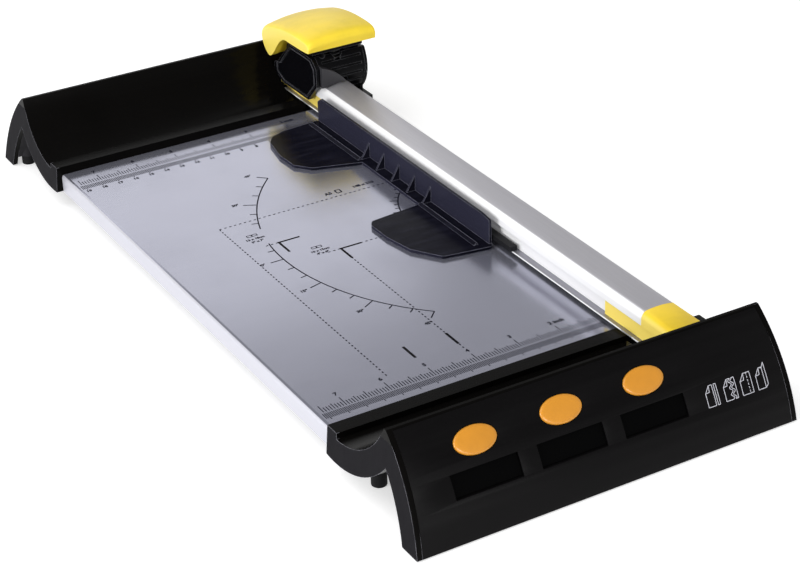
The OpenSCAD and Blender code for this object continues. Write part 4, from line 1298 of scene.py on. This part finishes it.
    @staticmethod
    def _arc_point(radius: float, angle: float) -> Point2:
        """A point at a distance and an angle from the middle of the cut line."""
        turn = math.radians(angle)
        return (CUT_X - radius * math.cos(turn), radius * math.sin(turn))

    def _arc(self, draft: MeshDraft, radius: float, labelled: bool) -> None:
        """Prints one arc of the protractor.

        Args:
            draft: The draft to print into.
            radius: Its radius.
            labelled: Whether it carries angles, and room for the size labels.
        """
        arc = [self._arc_point(radius, self.arc_reach * (2 * i / self.arc_steps - 1))
               for i in range(self.arc_steps + 1)]
        for index in range(self.arc_steps):
            if not (labelled and index in self.arc_gap):
                self._line(draft, arc[index:index + 2], self.line)
        long, end, short = self.arc_ticks
        for angle in range(-45, 46, 5):
            if labelled and angle in self.bare_angles:
                continue
            out = short if angle % 15 else end if abs(angle) == 45 else long
            out = out if labelled else out * self.inner_share
            self._line(draft, [self._arc_point(radius, angle),
                               self._arc_point(radius + out, angle)], self.line)
            if labelled and angle % 15 == 0:
                self._type(draft, f"{abs(angle)}°", self.angle_type,
                           self._arc_point(radius + self.angle_label, angle))

    def _protractor(self) -> None:
        """Prints the two angle arcs round the middle of the cut line."""
        draft = MeshDraft()
        self._arc(draft, self.outer_arc, True)
        self._arc(draft, self.inner_arc, False)
        mount(draft.make("bed_protractor", PALETTE["ink_dark"]), "base", "bed_metal")

    def _place(self, across: float, up: float) -> Point2:
        """A point by its distances from the cut line and from a sheet's front edge."""
        return (CUT_X - across, self.paper_foot + up)

    def _paper_marks(self) -> None:
        """Prints the outlines and labels for standard paper sizes."""
        draft = MeshDraft()
        for (across, up), foot in zip((self.a5, PRINT_FORMATS[1].size), self.outline_foot):
            corner = self._place(across, up)
            self._dashes(draft, self._place(across, foot), corner)
            self._dashes(draft, corner, self._place(self.outline_stop, up))
        self._type(draft, "A5", self.title_type, self._place(*self.a5_title))
        self._type(draft, "148 x 210", self.small_type, self._place(*self.a5_size))
        self._box(draft, self._place(*self.a5_sign), self.a5_sign_half, self.line)
        for form in PRINT_FORMATS:
            x, y = self._place(*form.size)
            side, up = x + form.label[0], y + form.label[1]
            for label, row in zip((form.metric, form.inches), self.label_rows):
                self._type(draft, label, self.label_type, (side, up + row))
            self._dashes(draft, (x - self.corner_lead, y), (x, y))
            for shift in (-self.sign_shift, self.sign_shift):
                self._box(draft, (side + shift, up + self.sign_row), self.sign_half, self.fine)
        mount(draft.make("bed_paper_outlines", PALETTE["ink_dark"]), "base", "bed_metal")

    def _corner_marks(self) -> None:
        """Prints the thick corners of the print formats, and their marks at the front."""
        draft = MeshDraft()
        half = self.corner_line / 2
        for form in PRINT_FORMATS:
            x, y = self._place(*form.size)
            foot = [self._place(form.size[0], up) for up in self.foot_mark]
            self._line(draft, [(x, y - self.corner_arm), (x, y + half)], self.corner_line)
            self._line(draft, [(x - half, y), (x + self.corner_arm, y)], self.corner_line)
            self._line(draft, foot, self.foot_line)
        mount(draft.make("bed_corner_marks", PALETTE["ink_black"]), "base", "bed_metal")


# End housings


@dataclass
class EndHousing:
    """One curved end housing with its fascia, lower cover, feet and bumper."""

    frame: Frame
    end: End

    def build(self) -> None:
        """Dresses the housing's solids."""
        side = self.end.name.lower()
        self.frame.dress(f"{side}_housing", "housing_black", edge_mm=0.6)
        self.frame.dress(f"{side}_fascia", "fascia_black", edge_mm=0.8)
        self.frame.dress(f"{side}_belly_cover", "cover_black", edge_mm=0.4)
        for column in ("left", "right"):
            self.frame.dress([f"foot_{side}_{column}", f"leg_foot_{side}_{column}"],
                             "rubber_black", edge_mm=0.5)
        self.frame.dress(f"bumper_{side}", "rubber_black", edge_mm=0.6)


@dataclass
class FrontPanel:
    """The storage bays, buttons and pictograms of the front housing."""

    frame: Frame
    oval: Pair = (23.0, 13.8)
    proud: float = 0.9
    flange_rim: float = 1.5
    # Edge of a button's crown: share of the oval, and depth below the crown's foot.
    shoulder: Sequence[Pair] = ((1.0, 1.15), (0.985, 0.7), (0.95, 0.34), (0.88, 0.1),
                                  (0.8, 0.0))
    dome: Sequence[float] = (0.65, 0.5, 0.35, 0.2, 0.08)
    dome_rise: float = 0.28
    button_sides: int = 72
    stem_radius: float = 2.5
    stem_reach: float = 2.2
    stem_play: float = 0.2
    stem_sides: int = 24
    symbols_x: Sequence[float] = (59.6, 70.3, 80.4, 89.9)
    symbol_foot: float = 19.0
    symbol_up: float = 2.0
    symbol_squeeze: float = 0.9
    symbol_tall: float = 10.4
    symbol_fold: float = 3.0
    symbol_line: float = 0.36
    symbol_ink: Pair = (0.01, 0.04)
    symbol_step: float = 1.5

    def build(self) -> None:
        """Dresses the bays and adds the buttons and pictograms."""
        for name, x in BAYS.items():
            self.frame.dress(f"tray_{name}", "tray_black")
            self.frame.dress(f"spare_cartridge_{name}", "tray_black")
            self.frame.dress(f"spare_blade_{name}", "ground_steel")
            self._button(name, x)
        self._pictograms()

    def _button(self, name: str, x: float) -> None:
        """A crowned oval button with its flange and stem.

        Args:
            name: Which button.
            x: Its middle across the machine.
        """
        turn = math.radians(BUTTON_ANGLE)
        out = Vector((0, -math.cos(turn), math.sin(turn)))
        up = Vector((0, math.sin(turn), math.cos(turn)))
        across = Vector((1, 0, 0))
        middle = Vector((x, -PANEL_CENTRE[0], PANEL_CENTRE[1]))
        flange = PANEL_RADIUS - WALL - FLANGE_GAP
        foot, top = flange - FLANGE_T, PANEL_RADIUS + self.proud
        # Each ring: share of the oval, width of the rim, distance from the panel's centre.
        rings = [(1.0, self.flange_rim, foot), (1.0, self.flange_rim, flange), (1.0, 0.0, flange)]
        rings += [(share, 0.0, top - depth) for share, depth in self.shoulder]
        crown = self.shoulder[-1][0]
        rings += [(share, 0.0, top + self.dome_rise * (1 - (share / crown) ** 2))
                  for share in self.dome]
        wide, tall = self.oval[0] / 2, self.oval[1] / 2
        draft = MeshDraft()
        draft.add([tuple(middle + out * distance + across * ((wide * share + rim) * c)
                         + up * ((tall * share + rim) * s))
                   for share, rim, distance in rings for c, s in circle(self.button_sides)],
                  closed_stack(len(rings), self.button_sides))
        stem_low = foot - BUTTON_TRAVEL - self.stem_play - self.stem_reach
        draft.add([tuple(middle + out * distance + (across * c + up * s) * self.stem_radius)
                   for distance in (stem_low, foot) for c, s in circle(self.stem_sides)],
                  closed_stack(2, self.stem_sides))
        mount(draft.make(f"oval_button_{name}", PALETTE["button_yellow"], smooth_deg=40.0),
              f"button_{name}", "button_yellow", f"button_{name}")

    def _pictograms(self) -> None:
        """Prints four page symbols, one for each kind of cut."""
        draft = MeshDraft()
        foot_angle = math.asin((self.symbol_foot - PANEL_CENTRE[1]) / PANEL_RADIUS)

        def lay(u: float, v: float, height: float) -> Point3:
            """Lays a drawing onto the panel.

            Args:
                u: Place across the machine.
                v: Distance up the panel's arc.
                height: Height above the panel.

            Returns:
                The point.
            """
            turn, radius = foot_angle + v / PANEL_RADIUS, PANEL_RADIUS + height
            return (u, -(PANEL_CENTRE[0] + radius * math.cos(turn)),
                    PANEL_CENTRE[1] + radius * math.sin(turn))

        def draw(x: float, *paths: Sequence[Point2]) -> None:
            """Draws one symbol.

            Args:
                x: Its left edge.
                *paths: Its strokes.
            """
            for path in paths:
                spots = [(x + self.symbol_squeeze * u, v + self.symbol_up) for u, v in path]
                draft.stroke(spots, self.symbol_line, *self.symbol_ink, lay, self.symbol_step)

        tall, fold = self.symbol_tall, self.symbol_fold
        cut_x, wave_x, dash_x, fold_x = self.symbols_x
        page = [(5.0, tall), (fold, tall), (0, tall - fold - 0.4), (0, 0), (5.0, 0)]
        ear = [(fold, tall), (fold - 0.4, tall - fold - 0.2), (0, tall - fold - 0.4)]
        strip = [(6.2, 0), (7.6, 0), (7.6, tall), (6.2, tall), (6.2, 0)]
        draw(cut_x, page, ear, [(5.0, 0), (5.0, tall)], strip)
        wave = [(4.6 + 0.9 * math.sin(tall * i / 24 * 1.9), tall * i / 24) for i in range(25)]
        draw(wave_x, page[:4] + [(4.6, 0)], ear, wave, [(u + 1.5, v) for u, v in wave],
             [(6.2, 0), (7.9, 0), (7.9, tall), (6.2, tall)])
        draw(dash_x, page[:4] + [(7.2, 0), (7.2, tall), (5.0, tall)], ear,
             *[[(5.0, v), (5.0, v + 1.0)] for v in [0.7 + 1.75 * i for i in range(6)]])
        draw(fold_x, page[:4] + [(5.0, 0), (5.0, tall - 0.4), (3.2, tall)], ear,
             [(5.0, 0), (6.8, 1.4), (6.8, tall + 2.0), (5.0, tall - 0.4)])
        mount(draft.make("panel_pictograms", PALETTE["ink_white"]), "base", "fascia_plastic")


# Rail


@dataclass
class Rail:
    """The aluminium rail with its yellow caps and clamping strip."""

    frame: Frame
    screw_seat: float = 11.9
    screw_shank: float = 14.0

    def build(self) -> None:
        """Dresses the rail's solids."""
        self.frame.dress("rail", "rail_aluminium", edge_mm=0.35)
        self.frame.dress(["rail_cap_front", "rail_cap_rear"], "cap_yellow", edge_mm=0.5)
        self.frame.dress("clamp_strip", "clamp_aluminium", edge_mm=0.2)
        self.frame.dress("grip_strip", "rubber_black")
        ScrewSet("rail_screws", "rail", [(RAIL_X, y, self.screw_seat) for y in (-POST_Y, POST_Y)],
                 self.screw_shank).build()


# Springs


@dataclass
class CoilSpring:
    """A helical spring that stands for one plain tube of the model."""

    node: str
    body: str
    joint: str
    foot: Vector
    head: Vector
    radius: float
    wire: float
    turns: int
    keep: float
    finish: str = "spring_steel"
    steps: int = 20
    sides: int = 8
    # Turns at each end that lie flat.
    closed: float = 0.75

    def build(self) -> None:
        """Winds the wire with closed end turns."""
        axis = self.head - self.foot
        length, way = axis.length, axis.normalized()
        side = Vector((1, 0, 0))
        other = way.cross(side)
        path = []
        reach, radius = length - 2 * self.wire, self.radius - self.wire
        for i in range(self.turns * self.steps + 1):
            done = i / self.steps
            eased = min(1.0, max(0.0, (done - self.closed) / (self.turns - 2 * self.closed)))
            turn = math.tau * done
            path.append(self.foot + way * (self.wire + reach * eased)
                        + (side * math.cos(turn) + other * math.sin(turn)) * radius)
        draft = MeshDraft()
        draft.tube(path, self.wire, self.sides)
        piece = draft.make(f"coil_{self.node}", PALETTE[self.finish], smooth_deg=60.0)
        mount(piece, self.body, "spring_steel", self.node)
        tuple(way)
        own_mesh(piece)


# Cutting head


@dataclass
class CuttingHead:
    """The drum-shaped head that slides on the rail, with its handle and blade."""

    frame: Frame
    yoke_screw_x: float = 70.0
    yoke_screw_seat: float = 47.5
    # Heads of the end cover's screws: across, either side of the middle, and up.
    cover_screw_x: float = 99.3
    cover_screw_y: float = 19.0
    cover_screw_z: float = 44.0

    def build(self) -> None:
        """Dresses the head's solids and adds the smooth handle."""
        self.frame.dress("carriage", "head_black", edge_mm=0.35)
        self.frame.dress("end_cover", "head_black", edge_mm=0.35)
        self.frame.dress("side_plate", "plate_black", edge_mm=0.25)
        self.frame.dress("saddle", "saddle_grey", edge_mm=0.4)
        self.frame.dress("glide_pads", "pad_white")
        self.frame.dress("yoke", "head_black", edge_mm=0.3)
        self.frame.dress("blade_cartridge", "head_black", edge_mm=0.3)
        self.frame.dress(["blade", "blade_axle"], "ground_steel")
        Handle().build()
        ScrewSet("yoke_screws", "head",
                 [(self.yoke_screw_x, PARK_Y + y, self.yoke_screw_seat) for y in STEM_Y],
                 shank=10.0, radius=3.8).build()
        ScrewSet("end_cover_screws", "carriage",
                 [(self.cover_screw_x, PARK_Y + y, self.cover_screw_z)
                  for y in (-self.cover_screw_y, self.cover_screw_y)],
                 shank=2.9, out=(1.0, 0.0, 0.0), radius=1.8, height=1.0,
                 shank_radius=1.0).build()


@dataclass
class Handle:
    """The crowned yellow handle, a skin between an upper and a lower curve."""

    left: float = 56.4
    width: float = 47.0
    crown: float = 2.98
    tilt: float = 1.8
    wall_to: float = 3.96
    relief_from: float = 6.88
    rounding: Pair = (4.0, 1.2)
    edge: Pair = (0.78, 0.94)
    edge_mm: float = 0.55
    slices: int = 60
    steps: int = 10
    over: Sequence[Point2] = ((-25.8, 67.4), (-26.2, 70.8), (-22.5, 73.4), (-8, 73.7), (8, 72.4),
                              (24, 69.2), (36, 64.6), (41.4, 59.3), (39, 52.6), (33.5, 48.7),
                              (29.6, 47.7))
    wall: Sequence[Point2] = ((-25.2, 67), (-21, 66.5), (-14, 66.1), (-6, 65.9), (1, 65.7),
                              (6.5, 65.5), (12.5, 62.4), (17.5, 57.5), (21, 53.2), (24.4, 49.8),
                              (27.2, 48))
    relief: Sequence[Point2] = ((-25.2, 67), (-21, 66.5), (-14, 66.1), (-6, 65.9), (1, 65.7),
                                (8, 65.6), (14, 65), (18.6, 63.3), (22.6, 59.2), (25.8, 54),
                                (27.8, 48.3))

    def _curve(self, points: Sequence[Point2]) -> list[Vector]:
        """Runs a smooth curve through points.

        Args:
            points: The points that it passes through.

        Returns:
            Points along the curve.
        """
        line = [Vector(point) for point in points]
        last = len(line) - 1
        out = []
        for i in range(last):
            a, b, c, d = line[max(i - 1, 0)], line[i], line[i + 1], line[min(i + 2, last)]
            for k in range(self.steps):
                t = k / self.steps
                out.append(0.5 * (2 * b + (c - a) * t + (2 * a - 5 * b + 4 * c - d) * t * t
                                  + (3 * b - a - 3 * c + d) * t ** 3))
        return out + [line[last]]

    def _share(self, x: float) -> float:
        """Share of the skin's thickness that is left near the ends.

        Args:
            x: Distance from the left end.

        Returns:
            The share, 1 away from the ends.
        """
        share = 1.0
        for gap, radius, edge in zip((x, self.width - x), self.rounding, self.edge):
            if gap < radius:
                bulge = math.sqrt(max(0.0, 1 - (1 - gap / radius) ** 2))
                share = min(share, edge + (1 - edge) * bulge)
        return share

    def build(self) -> None:
        """Makes the handle and puts it in its node's place."""
        over, wall, relief = (self._curve(line) for line in (self.over, self.wall, self.relief))
        count = len(over)
        draft = MeshDraft()
        points: list[Point3] = []
        for i in range(self.slices + 1):
            x = self.width * (1 - math.cos(math.pi * i / self.slices)) / 2
            share = self._share(x)
            mix = min(1.0, max(0.0, (x - self.wall_to) / (self.relief_from - self.wall_to)))
            crown = (self.crown * (1 - (2 * x / self.width - 1) ** 2)
                     + self.tilt * x / self.width)
            under = [a.lerp(b, mix) for a, b in zip(wall, relief)]
            points += [(self.left + x, PARK_Y + p[0], p[1]) for p in under]
            for k, (low, high) in enumerate(zip(under, over)):
                q = low.lerp(high, share)
                rise = crown * math.sqrt(math.sin(math.pi * k / (count - 1))) * share
                points.append((self.left + x, PARK_Y + q[0], q[1] + rise))
        ring = 2 * count
        faces: list[tuple[int, ...]] = []
        for i in range(self.slices):
            a, b = i * ring, (i + 1) * ring
            for k in range(count - 1):
                faces.append((a + k + 1, b + k + 1, b + k, a + k))
                faces.append((a + count + k, b + count + k, b + count + k + 1, a + count + k + 1))
            faces.append((a, b, b + count, a + count))
            faces.append((a + 2 * count - 1, b + 2 * count - 1, b + count - 1, a + count - 1))
        last = self.slices * ring
        for k in range(count - 1):
            faces.append((k, k + count, k + count + 1, k + 1))
            faces.append((last + k + 1, last + count + k + 1, last + count + k, last + k))
        draft.add(points, faces)
        piece = draft.make("crowned_handle", PALETTE["handle_yellow"], smooth_deg=35.0)
        round_edges(piece, self.edge_mm, segments=4, angle=38.0)
        mount(piece, "head", "handle_yellow", "handle")


# Paper guide


@dataclass
class PaperGuide:
    """The smoked guide that slides along the rail."""

    frame: Frame

    def build(self) -> None:
        """Dresses the guide's solids."""
        self.frame.dress("paper_guide", "guide_smoke", edge_mm=0.3)
        self.frame.dress("guide_slider", "frame_black", edge_mm=0.2)


@dataclass
class UndersideScrews:
    """The screws that hold the frame and the lower covers, seen from below."""

    frame_y: float = 177.0
    frame_seat: float = 11.3
    frame_shank: float = 7.7
    cover_y: float = 196.0
    cover_seat: float = 15.2
    cover_shank: float = 9.0

    def build(self) -> None:
        """Makes both sets of screws."""
        ScrewSet("frame_screws", "base",
                 [(x, end.value * self.frame_y, self.frame_seat)
                  for x in BAYS.values() for end in End], self.frame_shank).build()
        ScrewSet("cover_screws", "base",
                 [(x + BAY_PITCH / 2, end.value * self.cover_y, self.cover_seat)
                  for x in BAYS.values() for end in End], self.cover_shank).build()


@dataclass
class Springs:
    """Every coil spring of the trimmer."""

    leg_depth: float = 13.0
    rail_foot: float = 13.55
    rail_length: float = 2.9
    clamp_travel: float = 1.5
    handle_x: float = 80.0
    handle_foot: float = 52.05
    handle_length: float = 11.2
    handle_travel: float = 3.0

    def build(self) -> None:
        """Winds the springs of the buttons, the rail and the handle."""
        turn = math.radians(BUTTON_ANGLE)
        inward = Vector((0, math.cos(turn), -math.sin(turn)))
        for name, x in BAYS.items():
            centre = Vector((x, -PANEL_CENTRE[0], PANEL_CENTRE[1]))
            foot = centre - inward * (PANEL_RADIUS - self.leg_depth + WALL + FIT)
            head = centre - inward * (PANEL_RADIUS - WALL - FLANGE_GAP - FLANGE_T - FIT)
            CoilSpring(f"button_spring_{name}", "base", f"button_{name}_press", foot, head,
                       radius=5.3, wire=0.3, turns=5,
                       keep=1 - BUTTON_TRAVEL / (head - foot).length).build()
        for end in End:
            foot = Vector((RAIL_X, end.value * POST_Y, self.rail_foot))
            CoilSpring(f"rail_spring_{end.name.lower()}", "base", "clamp_press", foot,
                       foot + Vector((0, 0, self.rail_length)), radius=3.45, wire=0.3, turns=4,
                       keep=1 - self.clamp_travel / self.rail_length).build()
        for name, y in zip(("front", "rear"), STEM_Y):
            foot = Vector((self.handle_x, PARK_Y + y, self.handle_foot))
            CoilSpring(f"handle_spring_{name}", "carriage", "handle_press", foot,
                       foot + Vector((0, 0, self.handle_length)), radius=3.75, wire=0.4,
                       turns=6, keep=1 - self.handle_travel / self.handle_length,
                       finish="spring_black").build()


def main() -> None:
    """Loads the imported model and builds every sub-assembly in order."""
    logging.basicConfig(level=logging.INFO, format="%(message)s")
    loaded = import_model()
    frame = Frame(loaded["nodes"])
    Studio().build()
    Bed(frame).build()
    for end in End:
        EndHousing(frame, end).build()
    UndersideScrews().build()
    FrontPanel(frame).build()
    Rail(frame).build()
    CuttingHead(frame).build()
    PaperGuide(frame).build()
    Springs().build()


if __name__ == "__main__":
    main()
